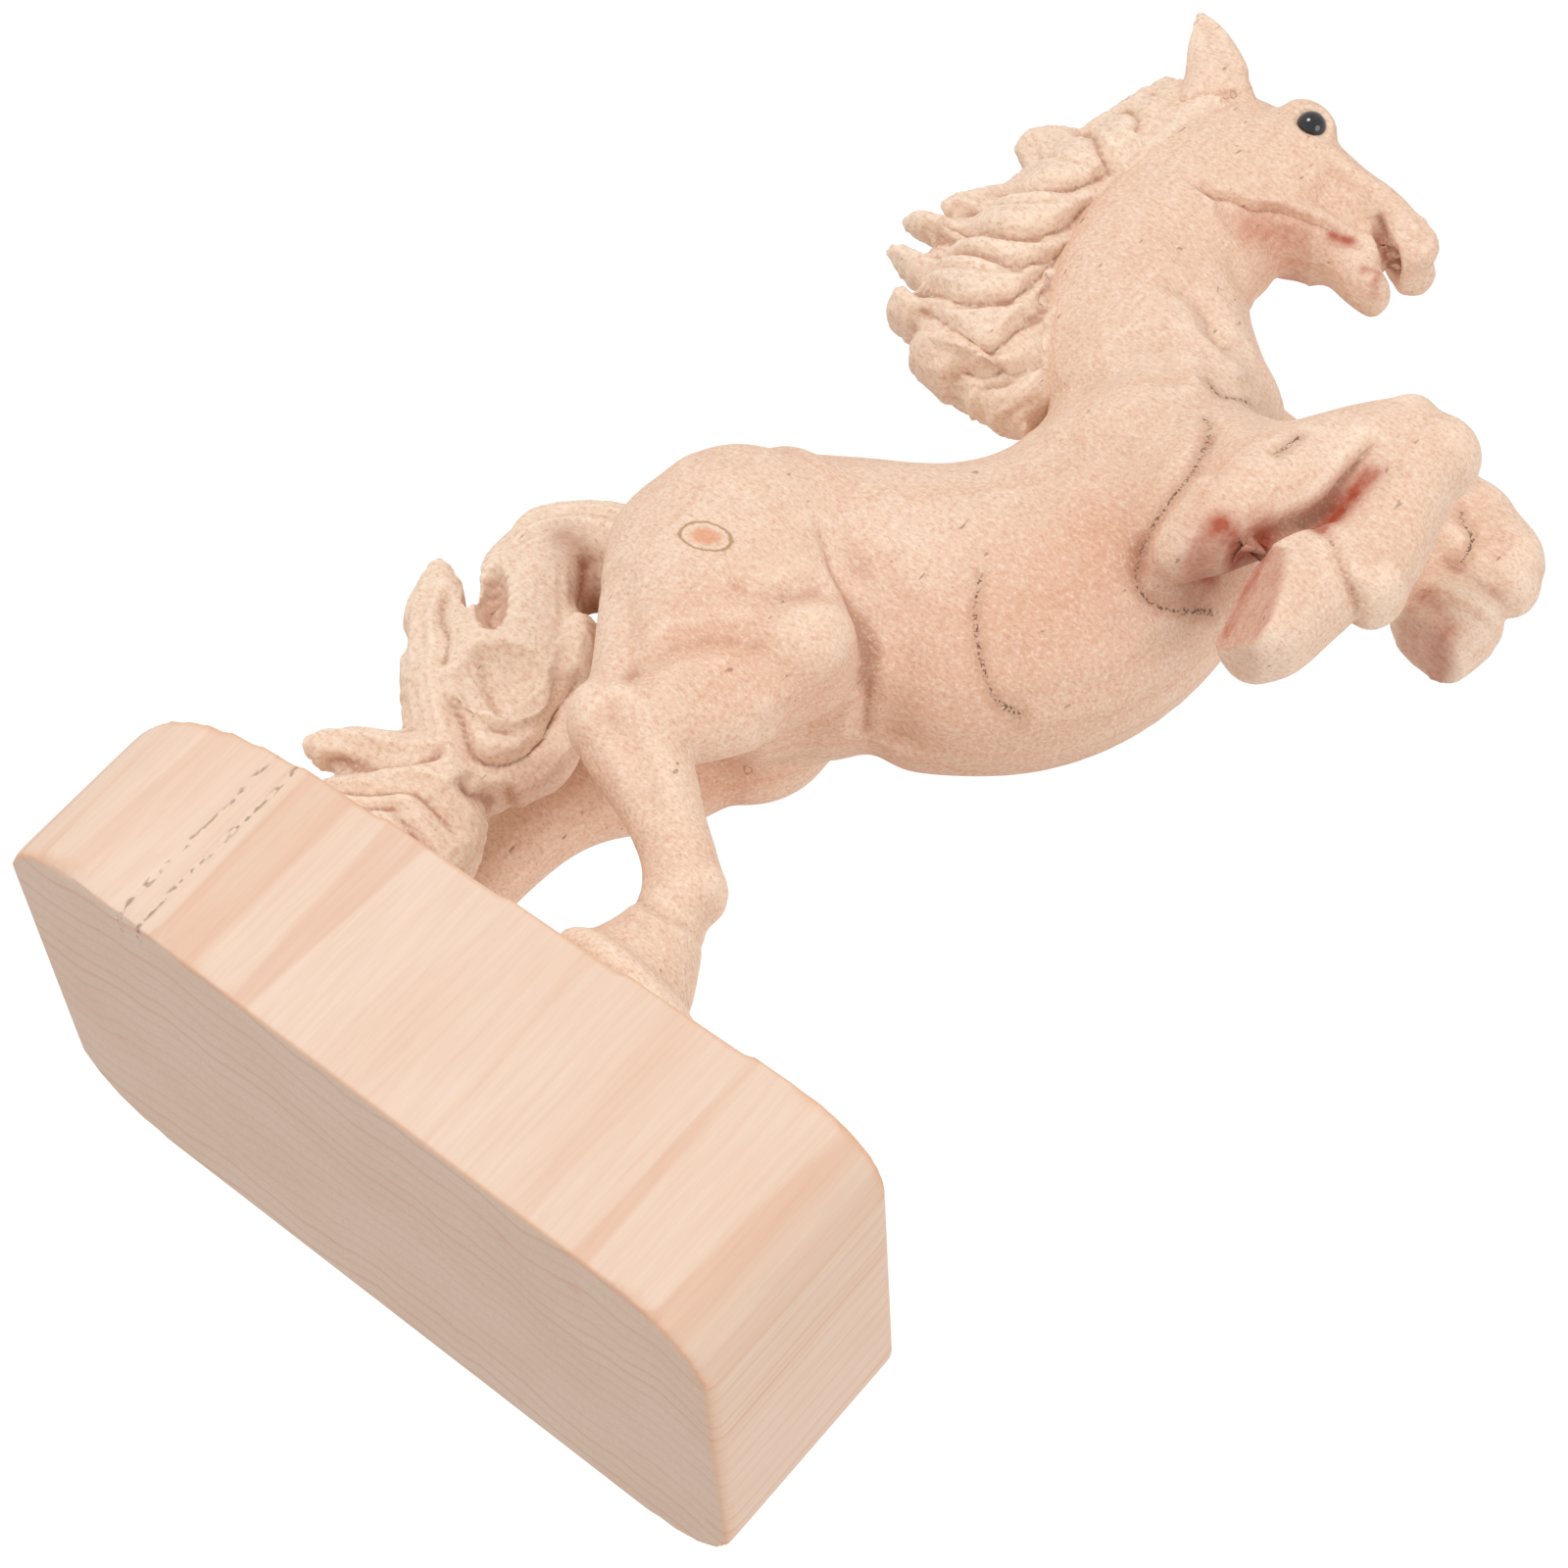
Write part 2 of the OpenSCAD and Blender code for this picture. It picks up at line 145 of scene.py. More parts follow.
def keep_largest(piece):
    """Drops stray islands, so only the one outer skin is left."""
    start, end = edge_ends(piece)
    parent = np.arange(len(piece.data.vertices))
    while True:
        low = np.minimum(parent[start], parent[end])
        before = parent.copy()
        np.minimum.at(parent, start, low)
        np.minimum.at(parent, end, low)
        parent = parent[parent]
        if np.array_equal(before, parent):
            break
    labels, counts = np.unique(parent, return_counts=True)
    if len(labels) == 1:
        return
    edit_chosen(piece, "VERT", parent != labels[np.argmax(counts)])
    bpy.ops.mesh.delete(type="VERT")
    bpy.ops.object.mode_set(mode="OBJECT")


def refine(piece, centre, radius):
    """Cuts each face within a ball, given in mm, into four."""
    middles = np.empty(len(piece.data.polygons) * 3, dtype=np.float32)
    piece.data.polygons.foreach_get("center", middles)
    away = np.linalg.norm(middles.reshape(-1, 3) / MM - np.array(centre), axis=1)
    edit_chosen(piece, "FACE", away < radius)
    bpy.ops.mesh.subdivide(number_cuts=1, smoothness=0.0)
    bpy.ops.object.mode_set(mode="OBJECT")


def corners(piece):
    """The vertices in mm, in the horse's own frame."""
    out = np.empty(len(piece.data.vertices) * 3, dtype=np.float32)
    piece.data.vertices.foreach_get("co", out)
    out = out.reshape(-1, 3).astype(float) / MM
    out[:, 0] += SETBACK
    return out


def set_corners(piece, points):
    points = points.copy()
    points[:, 0] -= SETBACK
    piece.data.vertices.foreach_set("co", (points * MM).astype(np.float32).ravel())
    piece.data.update()


def normals(piece):
    out = np.empty(len(piece.data.vertices) * 3, dtype=np.float32)
    piece.data.vertex_normals.foreach_get("vector", out)
    return out.reshape(-1, 3).astype(float)


def smooth_line(points, parts=6):
    """A drawn line of [x, z] points, rounded with a spline."""
    p = np.array(points, float)
    p = np.vstack([2 * p[0] - p[1], p, 2 * p[-1] - p[-2]])
    out = []
    for i in range(1, len(p) - 2):
        for t in np.arange(parts) / parts:
            out.append(0.5 * (2 * p[i] + (p[i + 1] - p[i - 1]) * t
                              + (2 * p[i - 1] - 5 * p[i] + 4 * p[i + 1] - p[i + 2]) * t * t
                              + (3 * p[i] - p[i - 1] - 3 * p[i + 1] + p[i + 2]) * t ** 3))
    out.append(p[-2])
    return np.array(out)


def distance(points, drawn):
    """(distance to a drawn line in mm, share of the way along it), both in the side view."""
    line = smooth_line(drawn)
    best = np.full(len(points), np.inf)
    along = np.zeros(len(points))
    flat = points[:, [0, 2]]
    for i in range(len(line) - 1):
        a, b = line[i], line[i + 1]
        way = b - a
        t = np.clip(((flat - a) @ way) / (way @ way), 0, 1)
        gap = np.linalg.norm(flat - a - t[:, None] * way, axis=1)
        nearer = gap < best
        best = np.where(nearer, gap, best)
        along = np.where(nearer, (i + t) / (len(line) - 1), along)
    return best, along


LEG_INNER, LEG_OUTER = 5.5, 8.0     # between these a leg's marks fade in, in mm from the middle


def side_weight(points, side):
    """1 on the chosen side of the horse and 0 on the other: near is -Y, off is +Y.

    "both" is 1 throughout, and with " leg" after the side only what lies as far out as a leg counts.
    """
    if side == "both":
        return np.ones(len(points))
    away = points[:, 1] * (-1 if side.startswith("near") else 1)
    if side.endswith("leg"):
        return np.clip((away - LEG_INNER) / (LEG_OUTER - LEG_INNER), 0, 1)
    return np.clip(away / 1.5 + 0.5, 0, 1)


def groove(points, out, line, width, depth, side, section, fade=0.18):
    """Sinks (or with a negative depth raises) the surface along a line, in a V or a round section.

    The fade is the share of the line, at each end, over which the depth dies away.
    """
    gap, along = distance(points, line)
    ends = np.sqrt(np.clip(along / fade, 0, 1) * np.clip((1 - along) / fade, 0, 1))
    if section == "round":
        shape = np.exp(-(gap / width) ** 2)
    else:
        shape = np.clip(1 - gap / width, 0, 1) ** 1.4
    return points - out * (depth * shape * ends * side_weight(points, side))[:, None]


def cut_all(points, out, cuts):
    """Every groove of a table in turn: its line, width, depth, side and section."""
    for cut in cuts:
        points = groove(points, out, *cut)
    return points


def relax(piece, factor):
    """Takes the last harshness off a cut surface."""
    apply_modifier(piece, "SMOOTH", factor=factor, iterations=1)


def relax_where(piece, weights, rounds):
    """Softens the surface most where the weights are 1, and not at all where they are 0."""
    group = piece.vertex_groups.new(name="soft")
    steps = 5
    for step in range(1, steps + 1):
        chosen = np.nonzero(np.round(weights * steps) == step)[0]
        group.add([int(i) for i in chosen], step / steps, "REPLACE")
    apply_modifier(piece, "SMOOTH", factor=0.5, iterations=rounds, vertex_group="soft")
    piece.vertex_groups.clear()


def neighbour_mean(piece, values, rounds):
    """Each vertex's value averaged with its neighbours', over and over."""
    start, end = edge_ends(piece)
    count = np.bincount(start, minlength=len(values)) + np.bincount(end, minlength=len(values))
    for _ in range(rounds):
        total = np.zeros_like(values)
        for axis in range(values.shape[1]):
            total[:, axis] = (np.bincount(start, values[end, axis], len(values))
                              + np.bincount(end, values[start, axis], len(values)))
        values = 0.5 * values + 0.5 * total / count[:, None]
    return values


def paint(piece, name, values):
    """Stores one number per vertex, for the finishes to read."""
    layer = piece.data.attributes.new(name, "FLOAT", "POINT")
    layer.data.foreach_set("value", values.astype(np.float32))


HOLLOW_GAIN = 1.6       # how much the painted value changes for each mm of depth


def paint_hollows(piece, reach):
    """How far each point lies below its surroundings (above 0.5) or stands out (below 0.5)."""
    p = corners(piece)
    sunk = ((neighbour_mean(piece, p, reach) - p) * normals(piece)).sum(axis=1)
    paint(piece, "hollow", np.clip(0.5 + sunk * HOLLOW_GAIN, 0, 1))


# ---------------------------------------------------------------- the carving

WOODEN = ["torso", "neck", "head", "lower_jaw", "near_ear", "off_ear",
          "near_foreleg", "off_foreleg", "near_hind_leg", "off_hind_leg"]
EYE_X, EYE_Z = -2.9, 142.9
LID_RADIUS, SEAT_RADIUS = 1.95, 1.5             # the raised eyelid and the hollow inside it
HEAD_MIDDLE, HEAD_REACH = (0, 0, 141), 19       # the ball in which the skin is drawn more finely


def muscles():
    """Rounded masses that the plain limbs lack; each line reads as ball() does."""
    masses = []
    for side in (-1, 1):
        lag = 0 if side < 0 else -4      # the off hind leg stands further back
        masses += [
            ball(-3.8, EYE_Z + 0.9, side * 4.3, 3.4, 2.6, 2.1, -12),      # brow over the eye
            ball(-3.6, 137.6, side * 3.6, 5.2, 4.9, 3.2, -10),            # cheek
            ball(12.0, 139.8, side * 2.0, 3.2, 2.5, 2.2, -40),            # nostril wing
            ball(7, 101, side * 8.4, 9.5, 6.5, 4.6, 70),                  # shoulder
            ball(-15 + lag * 0.4, 69, side * 9.6, 9, 8.6, 6.6, 60),       # rump
            ball(-4 + lag, 62.5, side * 9.8, 8.4, 7.6, 5.6, 75),          # thigh
        ]
    masses += [
        ball(32, 112.6, -12.6, 4.6, 4.3, 4.6, 60),                        # near knee
        ball(36.2, 97.6, -12.6, 3.4, 3.0, 4.1, 90),                       # near fetlock
        ball(30.6, 124.4, 12, 5.2, 4.6, 4.4, 0),                          # off knee
        ball(36.8, 120.6, 12, 4.2, 4.2, 4.0, -40),                        # off fetlock
        ball(-9.4, 44.6, -12, 4.4, 3.4, 3.9, -40),                        # near hock
        ball(8.4, 36.4, -12.4, 3.0, 2.7, 3.6, -40),                       # near hind fetlock
        ball(-20.6, 46, 10.6, 3.8, 3.6, 3.8, 90),                         # off hock
        ball(12.2, 23.4, -14.2, 9.4, 3.2, 7.2, -8),                       # wood round the near foot
        ball(-15.4, 22.6, 10.8, 7.2, 3.0, 6.6, 0),                        # wood round the off foot
        ball(9.4, 116.6, 0, 6.0, 2.2, 5.4, -25),                          # breast between the forelegs
        ball(11, 133.6, 0, 2.6, 2.0, 2.7, -10),                           # chin
        ball(8.4, 136.4, 0, 2.6, 2.2, 3.2, -35),                          # lower lip
        ball(31.4, 119.6, 10.8, 3.6, 3.6, 3.6, 0),                        # wood in the off knee's fold
        ball(-0.8, 61.4, -11.4, 6.4, 5.4, 5.4, 60),                       # near stifle
    ]
    return masses


def carve_body(p, out):
    """The valleys that part the muscles, cut along lines drawn in the side view."""
    cuts = [
        # flank, from the loin down round the front of the thigh
        ([(-8, 72.4), (-5, 71.1), (-2.1, 69.4), (0.7, 68.3), (3.3, 66.9), (4.6, 64.6), (4.8, 61),
          (3.8, 57), (2, 52)], 1.3, 0.8, "near", "V"),
        ([(-6.3, 73.2), (-3, 71.6), (0.4, 70.4), (3.8, 68.4), (6.4, 65.4), (7.6, 61.8), (6.6, 57),
          (4, 53)], 3.0, 1.2, "near", "round"),
        ([(-12, 74.6), (-8, 72.6), (-4, 70.4), (-1, 68.8), (3, 66), (6, 62)], 2.4, 1.2, "off", "round"),
        # hip, thigh and gaskin
        ([(-9.6, 60.8), (-5.6, 61.6), (-3, 64.2), (-1.8, 67)], 1.5, 0.6, "near", "round"),
        ([(-9, 47.2), (-8.5, 50.4), (-7.2, 53.5), (-4.8, 56.1), (-1.2, 58)], 1.6, 0.8, "near", "round"),
        ([(-19.4, 57.6), (-14.4, 53.6), (-10.6, 50), (-9.4, 47)], 1.5, 0.7, "near", "round"),
        ([(-21, 70), (-17, 72.6), (-12, 72.8)], 2.4, 0.4, "near", "round"),
        # shoulder blade and elbow
        ([(13.4, 103.6), (14.8, 101.6), (16.4, 97), (16.6, 92.3), (16.4, 89.6), (17.4, 87.5),
          (19.2, 86.8), (21.4, 88), (24, 91)], 1.2, 0.6, "near leg", "round"),
        ([(14.6, 102), (17, 99.4), (18, 96)], 1.6, 0.5, "near", "round"),
        # breast and the folds above it
        ([(-1, 97), (1, 101.6), (4.6, 105), (8.6, 107)], 3.0, 0.6, "both", "round"),
        ([(-2.4, 116.4), (1, 117.4), (3.6, 116.9), (6.8, 115.2), (8.6, 117)], 1.3, 0.8, "near", "round"),
        ([(0, 106.6), (2, 108.4), (4.1, 111.1), (7.1, 112.2), (9.7, 109.8), (12.3, 110)],
         1.4, 0.5, "near", "round"),
        ([(5.4, 114), (8, 112.6), (11, 112.4)], 1.2, -0.4, "near", "round"),
        ([(0.6, 110.6), (4.6, 109), (8.6, 105.6)], 2.2, 0.5, "near", "round"),
        ([(22.9, 105.4), (22.6, 103), (22.2, 100.6)], 1.2, 0.5, "near", "round"),
        # the edge where the side of the neck turns into the throat
        ([(-6.4, 129.4), (-3.4, 127.6), (0.4, 126.6), (3.4, 125.6)], 0.9, -0.5, "both", "round"),
        # windpipe along the neck
        ([(-8, 123.4), (-3.4, 122.4), (0.6, 119.4), (5, 115.6), (9.6, 112.6)], 1.6, 0.45, "both", "round"),
        ([(-10, 132), (-6.4, 129.6), (-2.6, 128.6), (1, 126), (3, 123.6)], 1.4, 0.5, "both", "round"),
        # folded near foreleg
        ([(28.4, 108.6), (28.6, 104.6), (28.4, 100.6), (26.6, 96.4), (25.2, 92.4), (24.6, 88.6)],
         1.4, 1.5, "near leg", "V"),
        ([(28.6, 98.4), (31, 97.6), (34, 95.4), (37.4, 94)], 1.1, 0.6, "near leg", "V"),
        # folded off foreleg
        ([(27, 119.4), (31.4, 117.6), (36, 117.4), (41, 118.2)], 1.4, 0.8, "off leg", "round"),
        ([(31, 113.8), (35.6, 113.2), (41, 114.8)], 0.9, 0.5, "off leg", "V"),
        # hocks, cannons and hoofs
        ([(-9.5, 43.6), (-5.7, 43.4), (-1.6, 41.2), (1.8, 38.6)], 1.3, 0.6, "near", "round"),
        ([(5, 31.8), (8.6, 31), (12.6, 32.4)], 1.0, 0.45, "near", "V"),
        ([(-21, 29.2), (-17, 28.2), (-12.6, 29)], 1.0, 0.4, "off", "V"),
    ]
    return cut_all(p, out, cuts)


def carve_head(p, out):
    """Jaw line, mouth, nostrils, eyelids and the small folds behind the eye."""
    cuts = [
        # jaw
        ([(-8.6, 129.8), (-5, 129.6), (-3.2, 130.7), (-1.4, 131.5), (1.3, 133), (4.3, 134.4),
          (7.2, 136.2)], 1.0, 1.0, "both", "V"),
        ([(-4, 128.4), (-0.6, 129.8), (2.6, 131.6), (5, 132.6)], 1.6, 0.5, "both", "round"),
        ([(3.2, 136), (2.9, 138.4), (1.8, 140.3)], 1.0, 0.5, "both", "round"),
        # mouth, nostril and cheekbone
        ([(7.6, 139.6), (8.6, 138.6), (9.9, 137.7), (11.2, 136.9), (12.6, 135.9), (14.2, 134.6)],
         0.9, 1.5, "both", "V"),
        ([(11.4, 142), (12.6, 140.8), (12.4, 139.4), (10.8, 138.8)], 0.9, 0.7, "both", "round"),
        ([(-0.6, 142), (3.4, 141.4), (7.6, 141.4)], 1.2, -0.35, "both", "round"),
        ([(-1, 139.4), (3, 139.8), (6.6, 140)], 1.3, 0.35, "both", "round"),
        # folds behind the eye and under the ear
        ([(-7.4, 145), (-8.6, 142.4), (-8.8, 139.6)], 0.8, 0.35, "both", "round"),
        ([(-9.8, 144.4), (-11.2, 141.6), (-11.6, 138.6)], 0.8, 0.4, "both", "round"),
        ([(-11, 146), (-12.6, 142.4), (-14.2, 138.6)], 0.9, 0.4, "both", "round"),
        ([(-12.6, 144), (-15.4, 144.6), (-18, 146.4), (-19.6, 147.8)], 0.9, 0.5, "both", "round"),
    ]
    p = cut_all(p, out, cuts)
    # eyelids: a raised rim round the bead's seat, twice as full above it as below
    from_eye = np.hypot(p[:, 0] - EYE_X, p[:, 2] - EYE_Z)
    cheeks = np.abs(p[:, 1]) > 3
    rim = np.exp(-((from_eye - LID_RADIUS) / 0.42) ** 2) * (0.75 + 0.25 * np.sign(p[:, 2] - EYE_Z))
    p = p + out * (0.25 * rim * cheeks)[:, None]
    seat = np.clip(1 - from_eye / SEAT_RADIUS, 0, 1) * cheeks
    p = p - out * (0.5 * seat)[:, None]
    # hollow between the jaw bones
    under = np.clip(-out[:, 2], 0, 1) * np.exp(-(p[:, 1] / 2.4) ** 2)
    along = np.exp(-((p[:, 0] - 0.5) / 4.0) ** 2) * np.exp(-((p[:, 2] - 133.5) / 2.6) ** 2)
    return p - out * (1.2 * under * along)[:, None]


def broad_parts(p):
    """1 on the trunk, neck and thighs, which are smooth, fading to 0 on the head and lower legs."""
    above = np.clip((p[:, 2] - 52) / 6, 0, 1) * np.clip((129 - p[:, 2]) / 4, 0, 1)
    behind = np.clip((21 - p[:, 0]) / 4, 0, 1)
    return above * behind


# Dark lines where a growth ring comes to the surface, drawn in the side view
RING_LINES = [
    [(13, 103.4), (14.6, 102), (16.6, 96.6), (16.6, 92.3), (16.4, 89.6), (17.4, 87.3), (19.1, 86.5),
     (21.4, 87.9), (23.4, 91)],
    [(7.2, 77.6), (8.6, 75), (9.8, 73.5), (12.2, 71.6), (14.3, 70.8), (16.8, 71.7)],
    [(22.7, 104.3), (22.3, 101.2)],
    [(9.4, 109), (11.3, 108.1), (13.2, 110.4)],
    [(-8, 104.6), (-6, 101), (-5, 97.6)],
]
OFF_RING_LINES = [[(30.6, 122.5), (31.8, 121.3), (33.4, 120.5), (34, 117.7)]]
# Red-brown grain in the deepest cuts: a line, its width and its strength
NEAR_STAINS = [
    ([(29.6, 105.6), (29.2, 102), (29.4, 98.4)], 1.1, 1.0),
    ([(25.6, 95.6), (24.6, 93.4), (22.5, 93)], 1.1, 0.8),
    ([(26.6, 95), (27.4, 91), (28.4, 86)], 0.5, 0.3),
    ([(21.9, 91.8), (22.2, 89.9)], 1.4, 0.5),
]
HEAD_STAINS = [
    ([(6, 134.7), (7.4, 135.2)], 0.8, 1.0),
    ([(8.2, 138.8), (9.7, 137.8), (11, 137.1)], 0.4, 0.5),
    ([(12.2, 132.8), (11.8, 134), (10.4, 133.6)], 0.5, 0.6),
    ([(-0.4, 129.6), (1.6, 131.6), (3.4, 132.6)], 2.0, 0.4),
]
OFF_STAINS = [
    ([(33.2, 112.5), (36, 111.5), (37.6, 110.5)], 1.0, 0.6),
    ([(33.2, 110.2), (36.2, 109.8), (38.4, 109.5)], 0.8, 0.3),
]
TAIL_STAINS = [
    ([(-29.4, 61.1), (-26.7, 60.9), (-24, 59)], 1.6, 0.6),
    ([(-15.8, 40.7), (-15.2, 42.5), (-16.2, 37.6)], 1.5, 0.35),
    ([(-31.4, 53), (-29.5, 51.2), (-28, 49.6)], 1.4, 0.25),
]
# Ruddier wood under the barrel, and painted shade in the soft hollows: x, z, radius and strength
RUDDY_AND_SHADE_PATCHES = [(15, 84, 9, 0.7), (7, 68, 8, 0.4), (14, 75, 8, 0.4), (-7, 57, 5, 0.5), (-3, 54, 5, 0.5),
         (20, 95, 5, 0.5), (-3, 122, 6, 0.4), (0.6, 130.4, 3, 0.55), (5, 58, 4, 0.7), (34, 103, 5, 0.35),
         (-6, 40, 4, 0.4), (6, 38, 4, 0.35), (13.4, 88, 3, 0.7)]
# Knots, with a rim round each: x, z, half sizes, tilt in degrees and side
KNOTS = [(-13.1, 63.4, 2.5, 1.5, 13, "near"), (-4.5, 57.2, 0.6, 0.5, 0, "off")]


UNMARKED = 4.0      # what is painted where no line or knot is near
SOLE_EDGE = 0.35    # half the depth, in mm, over which the cut sole is stained


def paint_stains(piece, groups):
    """Paints the stains of each group on its side, and the cut sole of the tucked hoof."""
    p = corners(piece)
    stain = np.zeros(len(p))
    for strokes, side in groups:
        for line, width, strength in strokes:
            away = distance(p, line)[0]
            stain += strength * np.exp(-(away / width) ** 2) * side_weight(p, side)
    stain += 0.4 * np.clip(1 - np.abs(past_sole(p)) / SOLE_EDGE, 0, 1)
    paint(piece, "stain", np.clip(stain, 0, 1))


def paint_figure(piece):
    """The marks on the carving: ring lines, stains, ruddier patches that are partly wood and partly painted
    shade, and knots.
    """
    p = corners(piece)
    # a line drawn in the side view ends where the surface turns away from the side
    turned = np.clip(0.3 - np.abs(normals(piece)[:, 1]), 0, 1)
    gap = np.full(len(p), UNMARKED)
    for lines, side in ((RING_LINES, "near"), (OFF_RING_LINES, "off")):
        for line in lines:
            away = distance(p, line)[0] + UNMARKED * (1 - side_weight(p, side))
            gap = np.minimum(gap, away + UNMARKED * turned)
    paint(piece, "ring_line", gap)
    paint_stains(piece, ((NEAR_STAINS, "near leg"), (HEAD_STAINS, "both"), (OFF_STAINS, "off leg")))
    # ruddier wood under the barrel, with painted shade in the soft hollows
    ruddy_and_shade = np.zeros(len(p))
    for x, z, radius, strength in RUDDY_AND_SHADE_PATCHES:
        ruddy_and_shade += strength * np.exp(-((p[:, 0] - x) ** 2 + (p[:, 2] - z) ** 2) / radius ** 2)
    paint(piece, "ruddy_and_shade", np.clip(ruddy_and_shade, 0, 1))
    knot = np.full(len(p), UNMARKED)
    for x, z, long, across, tilt, side in KNOTS:
        turn = math.radians(tilt)
        dx, dz = p[:, 0] - x, p[:, 2] - z
        u = (dx * math.cos(turn) + dz * math.sin(turn)) / long
        v = (dz * math.cos(turn) - dx * math.sin(turn)) / across
        knot = np.minimum(knot, np.hypot(u, v) + UNMARKED * (1 - side_weight(p, side)))
    paint(piece, "knot", knot)


# The flat sole of the tucked near fore hoof: a point of it, the way it faces and the box round the hoof
SOLE_AT = (27.2, -12.8, 89.6)
SOLE_OUT = np.array([-0.72, -0.62, -0.31])
SOLE_OUT /= np.linalg.norm(SOLE_OUT)
HOOF_LOW, HOOF_HIGH = (24, -30, 82), (33, -9, 94)


def past_sole(p):
    """How far each point of that hoof lies beyond the plane of its sole, or -1 off the hoof."""
    past = (p - SOLE_AT) @ SOLE_OUT
    hoof = (past < 3) & ((p > HOOF_LOW) & (p < HOOF_HIGH)).all(axis=1)
    return np.where(hoof, past, -1.0)


def cut_sole(p):
    """Cuts that hoof flat across its sole."""
    return p - np.clip(past_sole(p), 0, None)[:, None] * SOLE_OUT


def build_carving():
    """The horse without its mane and tail, which is one piece of wood."""
    piece = join([copy_of(node) for node in WOODEN] + muscles(), "carved_horse")
    remesh(piece, CARVING_VOXEL, smooth=4)
    relax_where(piece, broad_parts(corners(piece)), 18)
    p = cut_sole(corners(piece))
    set_corners(piece, p)
    set_corners(piece, carve_body(p, normals(piece)))
    refine(piece, HEAD_MIDDLE, HEAD_REACH)
    set_corners(piece, carve_head(corners(piece), normals(piece)))
    relax(piece, 0.4)
    bpy.ops.object.shade_smooth()
    paint_hollows(piece, 10)
    paint_figure(piece)
    finish(piece, carved_wood())
    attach(piece, "root")
    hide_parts(*WOODEN)
    return piece


def lock(points, thick, wide, y, tip):
    """A lock of hair along a side-view line: an oval tube that tapers to the tip's share of its size."""
    line = smooth_line(points, 5)
    rings, sides = len(line), 16
    verts = []
    for i, (x, z) in enumerate(line):
        way = line[min(i + 1, rings - 1)] - line[max(i - 1, 0)]
        way = way / np.linalg.norm(way)
        t = i / (rings - 1)
        size = 1 - (1 - tip) * t ** 1.6
        if i == rings - 1:
            size *= 0.5
        for j in range(sides):
            a = 2 * math.pi * j / sides
            reach = thick / 2 * size * math.cos(a)
            verts.append(((x - way[1] * reach - SETBACK) * MM,
                          (y + wide / 2 * size * math.sin(a)) * MM,
                          (z + way[0] * reach) * MM))
    faces = [(i * sides + j, i * sides + (j + 1) % sides, (i + 1) * sides + (j + 1) % sides,
              (i + 1) * sides + j)
             for i in range(rings - 1) for j in range(sides)]
    faces += [tuple(range(sides))[::-1], tuple((rings - 1) * sides + j for j in range(sides))]
    mesh = bpy.data.meshes.new("lock")
    mesh.from_pydata(verts, [], faces)
    piece = bpy.data.objects.new("lock", mesh)
    bpy.context.scene.collection.objects.link(piece)
    edit_all(piece)
    bpy.ops.mesh.normals_make_consistent(inside=False)
    bpy.ops.object.mode_set(mode="OBJECT")
    return piece


# Valleys between the locks of the mane, from the neck out towards its edge: a line and its depth
MANE_VALLEYS = [
    ([(-15.6, 132), (-17, 134), (-18.8, 135), (-20.6, 135.6)], 1.0),
    ([(-14.4, 127), (-17.4, 128), (-20.4, 129.8), (-22.4, 131.8)], 1.2),
    ([(-14.4, 127.4), (-15.3, 124.3), (-17.1, 121.7), (-21.7, 119.6), (-24.4, 120)], 1.4),
    ([(-13.8, 124.1), (-14.1, 117.8), (-17.3, 114), (-22.3, 113.4), (-26, 113.2)], 1.4),
    ([(-11.8, 121), (-12.4, 115.6), (-14.7, 111.4), (-17.1, 110.5), (-22.1, 110.2), (-27.6, 110.6)],
     1.4),
    ([(-12.4, 116.1), (-12.1, 112.1), (-12.6, 107.8), (-16.2, 104.7), (-20.1, 104.7), (-25.4, 106.4)],
     1.4),
    ([(-11.3, 113.5), (-10, 108.5), (-10, 103), (-12.1, 101), (-16.4, 101.6), (-21, 103)], 1.4),
    ([(-8.8, 108.9), (-7.2, 104.9), (-7.4, 101.2), (-10.8, 99.2), (-14.1, 98.7)], 1.4),
    ([(-6, 105), (-6.1, 102.7), (-7.7, 100), (-10.4, 98.7)], 1.2),
]
# Shallower lines along the locks
MANE_STRANDS = [
    [(-16.4, 138.6), (-18, 138.4), (-20, 139.2)],
    [(-17, 130), (-19.6, 131.4), (-21.6, 133.4)],
    [(-15.6, 126), (-19.2, 124.6), (-22.8, 125.6), (-25.6, 127.2)],
    [(-14.8, 122.4), (-18.4, 118), (-22.6, 116.8), (-26.6, 116.4)],
    [(-13.2, 118), (-16.6, 113.8), (-21.4, 112.4), (-27.6, 112.2)],
    [(-12.2, 114), (-15.4, 109.4), (-19.6, 107.8), (-25, 108.4)],
    [(-11.2, 110.4), (-13.8, 105.6), (-18, 103.8), (-23.4, 104.4)],
    [(-9, 108), (-9.6, 103.2), (-12.8, 100.4), (-17, 100)],
]
# Valleys of the tail: at its root, round the basin and between the locks over the block
TAIL_VALLEYS = [
    ([(-22, 56), (-24.4, 58.6), (-26.4, 61)], 1.0),
    ([(-26.1, 40.9), (-22.2, 39), (-19.6, 37.8), (-17.2, 38.8), (-16, 41.6), (-16.3, 45.7),
      (-18.1, 50.9)], 1.5),
    ([(-27.4, 42.4), (-22.4, 40.5), (-18.6, 41.8), (-17.6, 45.4), (-19.3, 49.9)], 0.7),
    ([(-35, 51.4), (-33.4, 48), (-30.6, 45.6), (-28.4, 42.6)], 0.9),
    ([(-19.4, 35.7), (-17.7, 35.5), (-16, 36.8), (-15.3, 38.4)], 1.3),
    ([(-32.6, 30), (-28.6, 31.6), (-24.6, 34), (-22, 36.6)], 1.1),
    ([(-31, 26.8), (-27.6, 28), (-24.7, 29.4), (-22.1, 31.5), (-18.8, 31.7), (-15.4, 31.5)], 1.2),
    ([(-26.6, 25.6), (-24, 27.6), (-22, 28.9), (-18.7, 28.5), (-14, 27)], 1.1),
]
